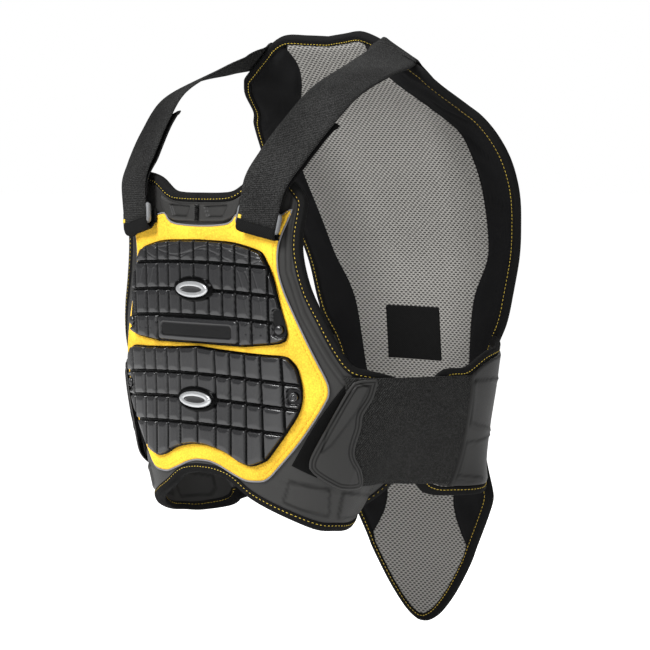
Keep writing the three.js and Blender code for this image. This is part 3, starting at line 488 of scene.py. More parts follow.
def bumpInto(nodes, links, shader, height, strength, distance):
    # a height drives the shader's normal
    bump = addNode(nodes, "ShaderNodeBump", Strength=strength, Distance=distance)
    links.new(height, bump.inputs["Height"])
    links.new(bump.outputs["Normal"], shader.inputs["Normal"])


def mathNode(nodes, links, operation, a, b=None, c=None):
    # one operation on numbers or sockets
    node = addNode(nodes, "ShaderNodeMath", operation=operation)
    for i, value in enumerate((a, b, c)):
        if value is None:
            continue
        if isinstance(value, (int, float)):
            node.inputs[i].default_value = value
        else:
            links.new(value, node.inputs[i])
    return node.outputs[0]


def noiseFac(nodes, links, scale, detail):
    # noise in the piece's own Object coordinates
    noise = addNode(nodes, "ShaderNodeTexNoise", Scale=scale, Detail=detail)
    links.new(nodes.new("ShaderNodeTexCoord").outputs["Object"], noise.inputs["Vector"])
    return noise.outputs["Fac"]


def ranged(nodes, links, value, low, high, darkest, palest):
    # a value between low and high spread evenly over the other two, and held there beyond them
    spread = addNode(nodes, "ShaderNodeMapRange", From_Min=low, From_Max=high, To_Min=darkest, To_Max=palest)
    links.new(value, spread.inputs["Value"])
    return spread.outputs[0]


def mixOf(nodes, links, dark, pale, share):
    # from the dark colour to the pale one by a socket's value
    mix = addNode(nodes, "ShaderNodeMix", data_type="RGBA")
    mix.inputs[6].default_value, mix.inputs[7].default_value = (*dark, 1), (*pale, 1)
    links.new(share, mix.inputs[0])
    return mix.outputs[2]


def grainy(name, colour, rough, scale, strength, spread=.12, gloss=.5, tone=0.):
    # fine noise in Object coordinates moves the colour a little and raises the grain; where asked, a painted
    # shade attribute darkens grooves
    material, nodes, links, shader = newMaterial(name, colour, rough, gloss=gloss)
    fine = noiseFac(nodes, links, scale, 3.)
    both = mathNode(nodes, links, "ADD", fine, noiseFac(nodes, links, 18., 4.))
    shade = ranged(nodes, links, both, .6, 1.4, 1 - spread, 1 + spread)
    if tone:
        # painted shade: the piece's own attribute darkens its grooves down to this share and weakens their
        # specular reflection
        own = addNode(nodes, "ShaderNodeAttribute", attribute_name="tone")
        keep = mathNode(nodes, links, "MULTIPLY_ADD", own.outputs["Fac"], 1 - tone, tone)
        shade = mathNode(nodes, links, "MULTIPLY", shade, keep)
        links.new(mathNode(nodes, links, "MULTIPLY", keep, gloss), shader.inputs["Specular IOR Level"])
    tint = addNode(nodes, "ShaderNodeVectorMath", operation="SCALE")
    tint.inputs[0].default_value = colour
    links.new(shade, tint.inputs["Scale"])
    links.new(tint.outputs[0], shader.inputs["Base Color"])
    bumpInto(nodes, links, shader, fine, strength, .0006)
    return material


def uvAxes(nodes, links):
    # the two axes of the piece's own UV, in metres
    where = addNode(nodes, "ShaderNodeUVMap", uv_map="flat")
    split = nodes.new("ShaderNodeSeparateXYZ")
    links.new(where.outputs[0], split.inputs[0])
    return split.outputs[0], split.outputs[1]


def wovenMaterial(name, colour, deep, rough, cross, down, slant=0., strength=.5, marble=.1, fluff=0.):
    # two crossed waves of the piece's own UV, in metres, darken the gaps and raise the threads
    material, nodes, links, shader = newMaterial(name, colour, rough, gloss=.08)

    def op(*what):
        return mathNode(nodes, links, *what)

    u, v = uvAxes(nodes, links)
    u = op("ADD", u, op("MULTIPLY", v, slant))
    wave = op("MULTIPLY", op("SINE", op("MULTIPLY", u, 2 * math.pi / cross)),
              op("SINE", op("MULTIPLY", v, 2 * math.pi / down)))
    high = op("MULTIPLY_ADD", wave, .5, .5)
    # slow marbling, as on worn elastic
    worn = op("MULTIPLY_ADD", noiseFac(nodes, links, 14., 3.), 2 * marble, 1 - marble)
    if fluff:
        # pale fluff caught in the threads
        dust = noiseFac(nodes, links, 950., 2.)
        worn = op("MULTIPLY", worn, ranged(nodes, links, dust, .42, .68, 1 - .4 * fluff, 1 + 1.4 * fluff))
    tint = addNode(nodes, "ShaderNodeVectorMath", operation="SCALE")
    links.new(mixOf(nodes, links, deep, colour, high), tint.inputs[0])
    links.new(worn, tint.inputs["Scale"])
    links.new(tint.outputs[0], shader.inputs["Base Color"])
    bumpInto(nodes, links, shader, high, strength, .0004)
    return material


def spacerMaterial(name, holes):
    # rows of long holes, each row shifted by half a pitch: distance to the hole's middle in a cell
    material, nodes, links, shader = newMaterial(name, holes["plain"], .75, gloss=.2)

    def op(*what):
        return mathNode(nodes, links, *what)

    def squared(share, half):
        # from a place in the cell to its squared distance from the middle, in half sizes of the hole
        return op("POWER", op("ABSOLUTE", op("DIVIDE", op("SUBTRACT", op("FRACT", share), .5), half)), 2.)

    u, v = uvAxes(nodes, links)
    row = op("DIVIDE", v, holes["rise"])
    odd = op("MODULO", op("FLOOR", row), 2.)
    column = op("MULTIPLY_ADD", odd, .5, op("DIVIDE", u, holes["pitch"]))
    far = op("SQRT", op("ADD", squared(column, holes["long"]), squared(row, holes["high"])))
    solid = ranged(nodes, links, far, .75, 1.1, 0., 1.)
    links.new(mixOf(nodes, links, holes["dark"], holes["pale"], solid), shader.inputs["Base Color"])
    bumpInto(nodes, links, shader, solid, .6, .0008)
    return material


holes = {"pitch": .0062, "rise": .0023, "long": .34, "high": .4,
         "plain": (.3, .29, .27), "dark": (.07, .068, .064), "pale": (.37, .359, .337)}
# leatherette and hard plastic are darkened by their pieces' painted shade attribute, down to .3 and .08
leatherette = grainy("leatherette", (.03, .0295, .0285), .42, 1400., .3, gloss=.3, tone=.3)
suede = grainy("suede", (.95, .57, .05), .9, 650., .7, spread=.4, gloss=.1)
hardPlastic = grainy("hard_plastic", (.009, .009, .01), .26, 2500., .04, spread=.05, gloss=.8, tone=.08)
silver = newMaterial("silver_plastic", (.6, .61, .62), .28, metal=.75)[0]
darkInlay = grainy("dark_inlay", (.02, .02, .021), .4, 1500., .1)
bindCloth = wovenMaterial("binding_cloth", (.014, .014, .014), (.004, .004, .004), .85, .0011, .0016, .3, .6)
liningCloth = grainy("side_lining", (.007, .007, .0075), .85, 1800., .35, gloss=.12)
spacerCloth = spacerMaterial("spacer_cloth", holes)
knitStrap = wovenMaterial("strap_knit", (.03, .03, .0295), (.003, .003, .003), .9, .0018, .0018, .8, .6,
                          marble=.8, fluff=.9)
knitBelt = wovenMaterial("belt_knit", (.034, .034, .033), (.005, .005, .005), .9, .0024, .0017, .5, .6,
                         marble=.2, fluff=1.)
webbing = wovenMaterial("webbing_cloth", (.013, .013, .013), (.002, .002, .002), .8, .0026, .0019, 0., .8)
hookCloth = grainy("hook_cloth", (.004, .004, .004), .95, 3000., .6, gloss=.1)
greyPlastic = grainy("grey_plastic", (.16, .165, .17), .4, 2000., .05, spread=.05)
yellowThread = grainy("yellow_thread", (.72, .52, .07), .8, 3000., .1, gloss=.2)
greyPiping = grainy("grey_piping", (.2, .2, .21), .5, 2000., .1)
panelThread = grainy("panel_thread", (.8, .47, .03), .8, 3000., .1)
print("stage: materials done")

# half outlines, in shares of a half width and a height: top and bottom run from the middle outwards
backShape = {
    "top": [[0, .005], [.15, 0], [.3, -.006], [.42, .003], [.53, .021], [.65, .04], [.741, .055]],
    "flank": [[.741, .055], [.802, .083], [.868, .13], [.931, .157], [.977, .198], [1, .246],
              [.98, .302], [.914, .367], [.843, .434], [.76, .512], [.664, .557], [.604, .604],
              [.538, .67], [.53, .73], [.59, .784]],
    "bottom": [[.59, .784], [.603, .803], [.563, .83], [.448, .888], [.391, .918], [.264, .969],
               [.138, 1.007], [.046, 1.023], [0, 1.025]]}
chestShape = {
    "top": [[0, .393], [.127, .394], [.209, .402], [.3, .435], [.386, .449], [.468, .449], [.536, .42]],
    "flank": [[.536, .42], [.586, .38], [.589, .349], [.569, .274], [.573, .211], [.607, .131],
              [.665, .056], [.727, -.024], [.781, -.075], [.848, -.088], [.941, -.103], [.99, -.118],
              [1.005, -.17], [1.02, -.29], [1.085, -.4], [1.085, -.445]],
    "bottom": [[1.085, -.445], [1.03, -.502], [.94, -.54], [.77, -.555], [.66, -.55], [.567, -.541],
               [.43, -.503], [.263, -.455], [.158, -.414], [.068, -.4], [0, -.398]]}
half, deep = back["half"], back["outline"]
reach, tall = chest["reach"], chest["height"]
belt = {"thick": 1.4, "top": -36, "bottom": -142, "fall": (4, 8), "bulge": 39.5, "tabThick": 2, "patch": 1.2}
flap = {"front": 36, "seam": 85.5, "thick": 4, "reach": 3.5, "rear": 2, "slant": 9}
layer, gap = .9, .3                      # a skin, and the room between two skins
bulgeRows = ((0, 0), (.2, .43), (.445, .87), (.705, 1), (.83, .63), (1, 0))
flankSteps = 97


def flankTable(up):
    # straight from the wing's end to the back's edge, bulged outwards by a share of its length,
    # with the running length at each step
    down = downAtHeight(up)
    edge = half * through([(d, a) for a, d in backShape["flank"]], down / deep)
    start, end = chestPoint(reach, up), backPoint(edge - flap["reach"], down, -flap["rear"])
    s = np.linspace(0, 1, flankSteps)
    x = start[..., :1] * (1 - s) + end[..., :1] * s + belt["bulge"] * through(bulgeRows, s)
    y = start[..., 1:2] * (1 - s) + end[..., 1:2] * s
    step = np.hypot(np.diff(x), np.diff(y))
    return x, y, np.concatenate([np.zeros(step.shape[:-1] + (1,)), np.cumsum(step, -1)], -1)


def flankPoint(along, up, out=0):
    # ahead of the wing's end on the chest, behind it on the bulged line, moved out square to it
    along, up, out = (v.astype(float) for v in np.broadcast_arrays(along, up, out))
    x, y, run = flankTable(up)
    hx, hy = np.gradient(x, axis=-1), np.gradient(y, axis=-1)
    at = np.clip(along, 0, None)
    i = np.clip((run <= at[..., None]).sum(-1) - 1, 0, run.shape[-1] - 2)

    def pick(table, k):
        return np.take_along_axis(table, k[..., None], -1)[..., 0]

    def between(table, share):
        return pick(table, i) * (1 - share) + pick(table, i + 1) * share

    t = (at - pick(run, i)) / (pick(run, i + 1) - pick(run, i))
    px, py = between(x, t), between(y, t)
    hx, hy = between(hx, np.clip(t, 0, 1)), between(hy, np.clip(t, 0, 1))
    size = np.hypot(hx, hy)
    behind = np.stack([px + hy / size * out, py - hx / size * out, up], -1)
    return np.where((along <= 0)[..., None], chestPoint(reach + along, up, out), behind)


def flankLength(up):
    # the flank line's whole length at a height
    return flankTable(np.asarray(up, float))[2][..., -1]


def wingPoint(across, up, out=0):
    # the chest's arcs, and past the wing's end the flank line, on both sides
    across, up, out = (v.astype(float) for v in np.broadcast_arrays(across, up, out))
    side = np.stack([np.where(across < 0, -1, 1), up * 0 + 1, up * 0 + 1], -1)
    past = flankPoint(np.maximum(np.abs(across) - reach, 0), up, out) * side
    return np.where((np.abs(across) > reach)[..., None], past, chestPoint(across, up, out))


def polyDistance(grid, rows):
    # distance from each point to an open line of straight stretches
    p = np.array(rows, float)
    best = np.full(grid.shape[:2], 1e9)
    for a, b in zip(p[:-1], p[1:]):
        d = grid - a
        t = np.clip(((d * (b - a)).sum(-1)) / ((b - a) ** 2).sum(), 0, 1)
        best = np.minimum(best, np.linalg.norm(d - t[..., None] * (b - a), axis=-1))
    return best


def inPolygon(grid, rows):
    # even-odd rule, one edge at a time
    p = np.array(rows, float)
    inside = np.zeros(grid.shape[:2], bool)
    for a, b in zip(p, np.roll(p, -1, 0)):
        crosses = (a[1] > grid[..., 1]) != (b[1] > grid[..., 1])
        edge = (b[0] - a[0]) * (grid[..., 1] - a[1]) / (b[1] - a[1] + 1e-12) + a[0]
        inside ^= crosses & (grid[..., 0] < edge)
    return inside


def field(grid, corners, soft):
    # 1 well inside the outline and 0 outside it, soft at its edge
    far = rimDistance(grid, np.array(corners, float))
    return smooth(np.where(inPolygon(grid, corners), far, -far), -soft, soft)


def bothSides(grid):
    # a point on the wearer's right read at its mirror image
    return np.stack([np.abs(grid[..., 0]), grid[..., 1]], -1)


# chest shell: a welt beside the yellow panel, two low panels on each wing, a step under the arm
relief = {"roll": 1.6, "rollWide": 5, "rear": 1.2, "rearWide": 4, "ripple": .35,
          "welt": [[120, 140], [112, 100], [112, 62], [126, 22], [150, -22], [163, -42]],
          "weltHigh": .8, "weltWide": 1.6,
          "fields": [[[104, -136], [141, -144], [138, -171], [112, -163], [96, -156]],
                     [[155, -148], [204, -156], [198, -168], [188, -174], [148, -174]]],
          "fieldHigh": 1.5, "fieldSoft": 1.1,
          "step": [[92, -138], [116, -142], [150, -150], [196, -150]], "stepHigh": .7, "stepWide": 1.3}
chestHalf = halfOutline(chestShape, reach, tall, 96, 130, ends=.35)
shellHalf = movedHalf(chestHalf, bindWidth - 2)
chestGrid = mirrored(patch(shellHalf))
fold = bothSides(chestGrid)
chestRim = rimDistance(chestGrid, loopOf(shellHalf))
welt = polyDistance(fold, relief["welt"])
chestOut = rounded(chestRim, relief["rollWide"], relief["roll"]) - relief["roll"]
# painted shade: a dark line beside the welt and round each raised field
chestPaintedShade = 1 - .5 * ridge(welt - 3, 1.2)
for corners in relief["fields"]:
    chestOut = chestOut + relief["fieldHigh"] * field(fold, corners, relief["fieldSoft"])
    chestPaintedShade -= .6 * ridge(rimDistance(fold, np.array(corners, float)) - .6, 1.1)
chestOut += relief["weltHigh"] * ridge(welt, relief["weltWide"])
chestOut += relief["stepHigh"] * ridge(polyDistance(fold, relief["step"]), relief["stepWide"])
chestOut += relief["ripple"] * np.sin(fold[..., 0] / 9) * np.sin(fold[..., 1] / 13) * smooth(chestRim, 2, 14)
chestIn = relief["rear"] - chest["thick"] - rounded(chestRim, relief["rearWide"], relief["rear"])
chestShell = slabPiece("chest_shell", wingPoint, chestGrid, chestOut, chestIn, leatherette)
paintedShadeOf(chestShell, chestPaintedShade)
standsFor("chest_panel")

chestRimLoop = spacedLoop(loopOf(chestHalf), bindStep)
chestBraid = bandPiece("chest_braid", wingPoint, chestRimLoop, moved(chestRimLoop, bindWidth),
                       -chest["thick"] - bindProud, bindProud, bindCloth)
standsFor("chest_binding")
chestSeam = moved(chestRimLoop, bindWidth * .68)
chestStitches = stitchPiece("chest_braid_stitches", [
    (wingPoint, chestSeam, bindProud + .25, True),
    (wingPoint, chestSeam, -chest["thick"] - bindProud - .25, True)], yellowThread)

# yellow suede panel, with a grey piping round it and a stitched groove inside its rim
panelShape = {
    "top": [[0, .2985], [.09, .3], [.173, .305], [.21, .315], [.236, .332], [.28, .329], [.38, .318],
            [.47, .33], [.53, .35]],
    "flank": [[.53, .35], [.505, .315], [.478, .28], [.459, .24], [.459, .18], [.486, .124],
              [.527, .067], [.577, 0], [.623, -.062], [.662, -.118], [.668, -.147], [.655, -.171],
              [.59, -.235], [.509, -.303], [.391, -.385]],
    "bottom": [[.391, -.385], [.355, -.4], [.305, -.404], [.255, -.403], [.209, -.394], [.155, -.381],
               [.1, -.368], [.045, -.36], [0, -.359]]}
panel = {"low": .9, "thick": 2, "roll": 1.4, "rollWide": 1.8, "seamIn": 4.2, "seamDeep": .9, "seamWide": .7,
         "ripple": .18, "pipe": .9, "pipeOut": .5, "pipeHigh": .6}
panelHalf = halfOutline(panelShape, reach, tall, 70, 90, ends=.35)
panelGrid = mirrored(patch(panelHalf))
panelRim = rimDistance(panelGrid, loopOf(panelHalf))
panelTop = panel["low"] + panel["thick"]
x, z = panelGrid[..., 0], panelGrid[..., 1]
panelOut = panelTop - panel["roll"] + rounded(panelRim, panel["rollWide"], panel["roll"])
panelOut -= panel["seamDeep"] * ridge(panelRim - panel["seamIn"], panel["seamWide"])
panelOut += panel["ripple"] * np.sin(x / 5.3 + 2 * np.sin(z / 17)) * smooth(panelRim, 6, 12)
yellowPanel = slabPiece("yellow_panel", chestPoint, panelGrid, panelOut, panel["low"], suede)
standsFor("chest_overlay")
panelLoop = spacedLoop(loopOf(panelHalf), 3)


def cordPiece(name, centres, normals, radius, material, closed, sides=8, flatten=1.):
    # circle carried along a line, one axis along the given normals
    ahead = np.roll(centres, -1, 0) - np.roll(centres, 1, 0)
    if not closed:
        ahead[0], ahead[-1] = centres[1] - centres[0], centres[-1] - centres[-2]
    ahead = unit(ahead)
    sideways = np.cross(ahead, normals)
    sideways = unit(sideways)
    lift = np.cross(sideways, ahead)
    turn = np.linspace(0, 2 * np.pi, sides, endpoint=False)
    points = (centres[:, None] + radius * np.cos(turn)[None, :, None] * sideways[:, None]
              + radius * flatten * np.sin(turn)[None, :, None] * lift[:, None])
    return meshPiece(name, points, tubeQuads(len(centres), sides, closed), material)


def normalsOf(surface, path, out):
    # from a point to the one a millimetre further out
    n = surface(path[:, 0], path[:, 1], np.asarray(out) + 1) - surface(path[:, 0], path[:, 1], out)
    return unit(n)


pipeLoop = moved(panelLoop, -panel["pipeOut"])
pipeMiddle = chestPoint(pipeLoop[:, 0], pipeLoop[:, 1], panel["low"] + panel["pipeHigh"])
panelPiping = cordPiece("panel_piping", pipeMiddle, normalsOf(chestPoint, pipeLoop, 1), panel["pipe"],
                        greyPiping, True)
panelSeam = moved(panelLoop, panel["seamIn"])
panelStitches = stitchPiece("panel_stitches", [(chestPoint, panelSeam, panelTop - .35, True)], panelThread)

# the two pads at the neck, each with a sunk field, and the lace between them
pad = {"thick": 3, "seam": 1.8, "low": .9, "edge": .4, "rollWide": 3, "sunk": 2.2, "soft": .7,
       "field": [[11, 120.5], [41, 122], [35, 111.5], [15, 111]]}
padShape = {"top": [[0, .361], [.12, .362], [.2, .37], [.26, .386]],
            "flank": [[.26, .386], [.262, .376], [.257, .362], [.248, .351]],
            "bottom": [[.248, .351], [.225, .331], [.17, .315], [.09, .312], [0, .311]]}
lace = {"low": 107.5, "high": 121.5, "turns": 15, "half": 2.7, "radius": .75, "lift": .1}
padGrid = patch(halfOutline(padShape, reach, tall, 50, 36, ends=.3))
padGrid[..., 0] = np.maximum(padGrid[..., 0], pad["seam"])
padRim = edgeDistance(padGrid)
padOut = (pad["low"] + pad["edge"] + rounded(padRim, pad["rollWide"], pad["thick"] - pad["edge"])
          - pad["sunk"] * field(padGrid, pad["field"], pad["soft"]))
padLeft = slabPiece("neck_pad_left", chestPoint, padGrid, padOut, pad["low"], leatherette)
# painted shade: a dark line round the edge of the sunk field
paintedShadeOf(padLeft, 1 - .75 * ridge(rimDistance(padGrid, np.array(pad["field"], float)) - .2, .9))
bothStandFor(padLeft, "chest_top_pad_left")
turns = np.arange(lace["turns"])
laceLine = np.stack([np.where(turns % 2, lace["half"], -lace["half"]),
                     np.linspace(lace["low"], lace["high"], lace["turns"])], -1)
laceMiddle = chestPoint(laceLine[:, 0], laceLine[:, 1], pad["low"] + pad["thick"] + lace["lift"])
neckLace = cordPiece("neck_lace", laceMiddle, normalsOf(chestPoint, laceLine, 3), lace["radius"], webbing,
                     False, 6)
print("stage: chest done")

# segmented plates: rows and columns are the grooves' places, stud and badge those of rivet and oval
plate = {"low": panelTop + 1.2, "base": 2.2, "block": 3.6, "groove": 2.2, "corner": 1.9, "border": 1.6,
         "droop": .012, "pillow": .18}
plates = {
    "upper": {"top": [[0, .263], [.2, .259], [.3, .249], [.38, .235], [.404, .22]],
              "flank": [[.404, .22], [.445, .168], [.477, .091], [.507, .018], [.5, -.009]],
              "bottom": [[.5, -.009], [.455, -.02], [.31, -.03], [.25, -.032], [0, -.0305]],
              "rows": [.29, .199, .122, .0485, -.05], "columns": [0, .091, .173, .25, .336, .427, .6],
              "stud": [.476, .021], "badge": .123, "cell": (6, 13),
              "rivet": ((4.5, 0), (4.5, 1.6), (4.1, 2.5), (3.2, 3.2), (1.8, 3.5), (.05, 3.6))},
    "lower": {"top": [[0, -.036], [.17, -.043], [.364, -.0485], [.49, -.0515], [.527, -.065]],
              "flank": [[.527, -.065], [.55, -.088], [.564, -.147], [.545, -.203], [.482, -.265],
                        [.4, -.332], [.382, -.344]],
              "bottom": [[.382, -.344], [.355, -.353], [.3, -.363], [.236, -.354], [.158, -.332],
                         [.059, -.318], [0, -.316]],
              "rows": [-.02, -.115, -.184, -.256, -.38], "columns": [0, .114, .202, .289, .375, .48, .66],
              "stud": [.527, -.162], "badge": -.187, "cell": (0, 7.4),
              "rivet": ((4.5, 0), (4.5, 2.4), (4.1, 3.1), (3.3, 3.3), (2.9, 2.5), (1.9, 2.4), (1.5, 3.2),
                        (.8, 3.4), (.05, 3.4))}}
oval = {"long": 45, "high": 15.5, "rim": 3.5, "boss": 1.4, "seat": .8, "eye": (.66, .4),
        "rings": [(1, 1, 0), (1, 1, 1.2), (.975, .95, 1.9), (.93, .87, 2.2), (.68, .42, 2.2),
                  (.64, .36, 1.9), (.6, .31, 1.2), (.3, .15, 1), (.02, .01, 1)]}
bar = {"half": 57, "low": -8.5, "high": 14, "corner": 4, "name": (50, 6.6, 4), "nameUp": 2.6, "nameDeep": .6}
waves = ((79, 5, 0), (73.5, 6.5, .8), (84, 3.5, 1.7))        # height, swing and phase of each
scratch = [[60, 60], [66, 44], [69, 24], [68, 2]]            # engraved line, repeated outwards


def boxDistance(x, y, halfX, halfY, corner):
    # signed distance to a rounded box, negative inside
    qx, qy = np.abs(x) - halfX + corner, np.abs(y) - halfY + corner
    return np.hypot(np.maximum(qx, 0), np.maximum(qy, 0)) + np.minimum(np.maximum(qx, qy), 0) - corner


def blockRelief(grid, rim, form, level):
    # each point's cell between two grooves that droop outwards, then a bevelled rounded block in it
    x = np.abs(grid[..., 0])
    z = grid[..., 1] + plate["droop"] * tall * (grid[..., 0] / (reach * .5)) ** 2
    columns = np.array(form["columns"]) * reach
    rows = np.array(form["rows"])[::-1] * tall
    i = np.clip(np.searchsorted(columns, x) - 1, 0, len(columns) - 2)
    j = np.clip(np.searchsorted(rows, z) - 1, 0, len(rows) - 2)
    gone = boxDistance(x - (columns[i + 1] + columns[i]) / 2, z - (rows[j + 1] + rows[j]) / 2,
                       (columns[i + 1] - columns[i]) / 2 - plate["groove"] / 2,
                       (rows[j + 1] - rows[j]) / 2 - plate["groove"] / 2, plate["corner"])
    if level == "upper":
        inBar = (x < bar["half"] + 2) & (grid[..., 1] < bar["high"] + 1.4)
        barGone = boxDistance(grid[..., 0], grid[..., 1] - (bar["low"] + bar["high"]) / 2, bar["half"] - .6,
                              (bar["high"] - bar["low"]) / 2, bar["corner"])
        gone = np.where(inBar, barGone, np.maximum(gone, -(barGone - plate["groove"])))
    gone = np.maximum(gone, plate["border"] - rim)
    return smooth(-gone, -.25, .9), gone


def platePiece(level, form):
    # a low pillow on each block, engraved lines, the oval's seat and a pocket round each rivet; painted shade
    # darkens the grooves and pockets
    outline = halfOutline(form, reach, tall, 150, 150, ends=.12)
    grid = mirrored(patch(outline))
    rim = rimDistance(grid, loopOf(outline))
    lift, gone = blockRelief(grid, rim, form, level)
    pillow = plate["pillow"] * smooth(-gone, .5, 5)
    height = plate["base"] + plate["block"] * ((1 - plate["pillow"]) * lift + pillow)
    x, z = grid[..., 0], grid[..., 1]
    if level == "upper":
        for waveUp, swing, phase in waves:
            height -= .38 * ridge(z - waveUp - swing * np.sin(x / 17 + phase), .55) * lift
        for k in range(3):
            height -= .35 * ridge(polyDistance(bothSides(grid), np.array(scratch) + (9 * k, 0)), .55) * lift
    oy = form["badge"] * tall
    ring = np.hypot(x / (oval["long"] / 2 + oval["rim"]), (z - oy) / (oval["high"] / 2 + oval["rim"]))
    seatUp = smooth(ring, 1.07, .97)
    height = height * (1 - seatUp) + (plate["base"] + plate["block"] + oval["boss"]) * seatUp
    inner = np.hypot(x / (oval["long"] / 2 + .5), (z - oy) / (oval["high"] / 2 + .5))
    height -= oval["seat"] * smooth(inner, 1.03, .97)
    # painted shade: darkest in the grooves between the blocks. The oval's raised seat is set to the darkest
    # share as well.
    tone = lift * smooth(ring, 1.07, 1.14)
    sx, sz = form["stud"][0] * reach, form["stud"][1] * tall
    cellUp, cellHalf = form["cell"]
    cell = boxDistance(np.abs(x) - sx, z - sz - cellUp, 6.6, cellHalf, 4.5)
    height = np.where(cell < 3, plate["base"] + (height - plate["base"]) * smooth(cell, 0, 1.2), height)
    # painted shade in the pocket round each rivet
    tone = np.where(cell < 0, .25, tone)
    if level == "upper":
        # blank name field, sunk a little into its bar and made darker
        name = smooth(-boxDistance(x, z - bar["nameUp"], *bar["name"]), -.4, .6)
        height -= bar["nameDeep"] * name
        tone = tone * (1 - .7 * name)
    height = height * smooth(rim, -.6, 1.1)
    piece = slabPiece(level + "_armour_plate", chestPoint, grid, plate["low"] + np.maximum(height, .8),
                      plate["low"], hardPlastic)
    paintedShadeOf(piece, tone)
    standsFor(level + "_plate")


def ovalPiece(level, form):
    # rings about one middle: rounded rim, broad flat band, sunk dark eye
    up = form["badge"] * tall
    low = plate["low"] + plate["base"] + plate["block"] + oval["boss"] - oval["seat"]
    rings = np.array(oval["rings"])
    halfLong, halfHigh = oval["long"] / 2, oval["high"] / 2
    turn = np.linspace(0, 2 * np.pi, 72, endpoint=False)
    points = np.stack([halfLong * rings[:, :1] * np.cos(turn),
                       chestPoint(0, up, low)[1] - rings[:, 2:] + 0 * turn,
                       up + halfHigh * rings[:, 1:2] * np.sin(turn)], -1)
    badge = meshPiece(level + "_oval", points, tubeQuads(len(rings), 72, False), silver)
    badge.data.materials.append(darkInlay)
    middle = np.zeros(len(badge.data.polygons) * 3)
    badge.data.polygons.foreach_get("center", middle)
    far = np.abs(middle.reshape(-1, 3) * 1000 + (0, 0, seat["height"] - up)) / (halfLong, 1, halfHigh)
    inEye = np.hypot(far[:, 0] / oval["eye"][0], far[:, 2] / oval["eye"][1]) < 1
    badge.data.polygons.foreach_set("material_index", inEye.astype(np.int32))
    standsFor(level + "_badge")


def rivetPiece(level, form):
    # profile turned round the plate's normal: a dome, or a ring round a small pip
    spot, low = np.array(form["stud"]) * (reach, tall), plate["low"] + plate["base"] + gap
    foot = chestPoint(spot[0], spot[1], low)
    out = chestPoint(spot[0], spot[1], low + 1) - foot
    first = unit(np.cross(out, (0, 0, 1)))
    second = np.cross(out, first)
    turn = np.linspace(0, 2 * np.pi, 28, endpoint=False)
    points = [foot + r * (np.cos(turn)[:, None] * first + np.sin(turn)[:, None] * second) + h * out
              for r, h in form["rivet"]]
    left = meshPiece("rivet_" + level + "_left", np.concatenate(points),
                     tubeQuads(len(form["rivet"]), 28, False), hardPlastic)
    paintedShadeOf(left, np.ones(len(left.data.vertices) // 2))
    bothStandFor(left, "plate_rivet_" + level + "_left")


for level, form in plates.items():
    platePiece(level, form)
    ovalPiece(level, form)
    rivetPiece(level, form)
print("stage: plates done")

# back shell: a crown across, a groove down the spine and moulded lines that rise to it
shell = {"low": 1.65, "roll": 2, "rollWide": 6, "spineDeep": 1.5, "spineWide": 3,
         "lines": 7, "first": 100, "pitch": 62, "rise": (-12, 8), "reach": (48, 86), "lineDeep": 2,
         "lineWide": 2.6}
widthRows = ((0, .55), (.075, .8), (.244, 1), (.38, .9), (.557, .6), (.67, .5), (.8, .6), (.97, .26),
             (1.02, .05))
backHalf = halfOutline(backShape, half, deep, 64, 180, ends=.3)
backInner = movedHalf(backHalf, bindWidth - 2)
backGrid = mirrored(patch(backInner))
backRim = rimDistance(backGrid, loopOf(backInner))
fold = bothSides(backGrid)
x, z = fold[..., 0], fold[..., 1]
down = np.clip(z / deep, 0, 1)
bulge = np.clip(1 - (x / (half * through(widthRows, down))) ** 2, 0, 1)
crown = back["crown"] * bulge * np.minimum(1, 6 * down * (1 - down))
spineGroove = ridge(x, shell["spineWide"]) * smooth(z, 60, 90) * smooth(z, 560, 530)
backOut = back["edge"] + crown + rounded(backRim, shell["rollWide"], shell["roll"]) - shell["roll"]
backOut -= shell["spineDeep"] * spineGroove
# painted shade in the spine groove and in each moulded line
backPaintedShade = 1 - .5 * spineGroove
for k in range(shell["lines"]):
    at = shell["first"] + shell["pitch"] * k
    line = [[0, at], [shell["reach"][0], at + shell["rise"][0]], [shell["reach"][1], at + shell["rise"][1]]]
    groove = ridge(polyDistance(fold, line), shell["lineWide"]) * smooth(backRim, 6, 26)
    backOut -= shell["lineDeep"] * groove
    backPaintedShade -= .4 * groove
backShell = slabPiece("back_shell", backPoint, backGrid, backOut, shell["low"], leatherette)
paintedShadeOf(backShell, np.clip(backPaintedShade, .3, 1))
standsFor("back_panel")

meshThick = 2.4
backRimLoop = spacedLoop(loopOf(backHalf), bindStep)
backBraid = bandPiece("back_braid", backPoint, backRimLoop, moved(backRimLoop, bindWidth), -meshThick,
                      back["edge"] + bindProud, bindCloth)
standsFor("back_binding")
backSeam = moved(backRimLoop, bindWidth * .66)
backStitches = stitchPiece("back_braid_stitches", [
    (backPoint, backSeam, -meshThick - .35, True),
    (backPoint, backSeam, back["edge"] + bindProud + .35, True)], yellowThread)

# spacer mesh, a soft swell with a faint seam in the tail that follows its V
meshSide = [[.32, .017], [.31, .046], [.362, .082], [.489, .128], [.598, .161], [.69, .192],
            [.713, .238], [.713, .282], [.672, .36], [.626, .414], [.523, .464], [.477, .498],
            [.448, .549], [.42, .606], [.345, .7], [.276, .8], [.282, .834], [.333, .864], [.385, .885]]
tailSeam = [[0, 600], [22, 583], [44, 552], [57, 520], [62, 498]]
linerRows = 110
innerHalf = movedHalf(backHalf, bindWidth - .5)
meshFlank = line2(meshSide, half, deep, np.linspace(0, 1, linerRows))


def byShare(path, shares):
    # the path read at shares of its running length
    run = runOf(path)
    return np.stack([np.interp(shares * run[-1], run, path[:, k]) for k in range(2)], -1)


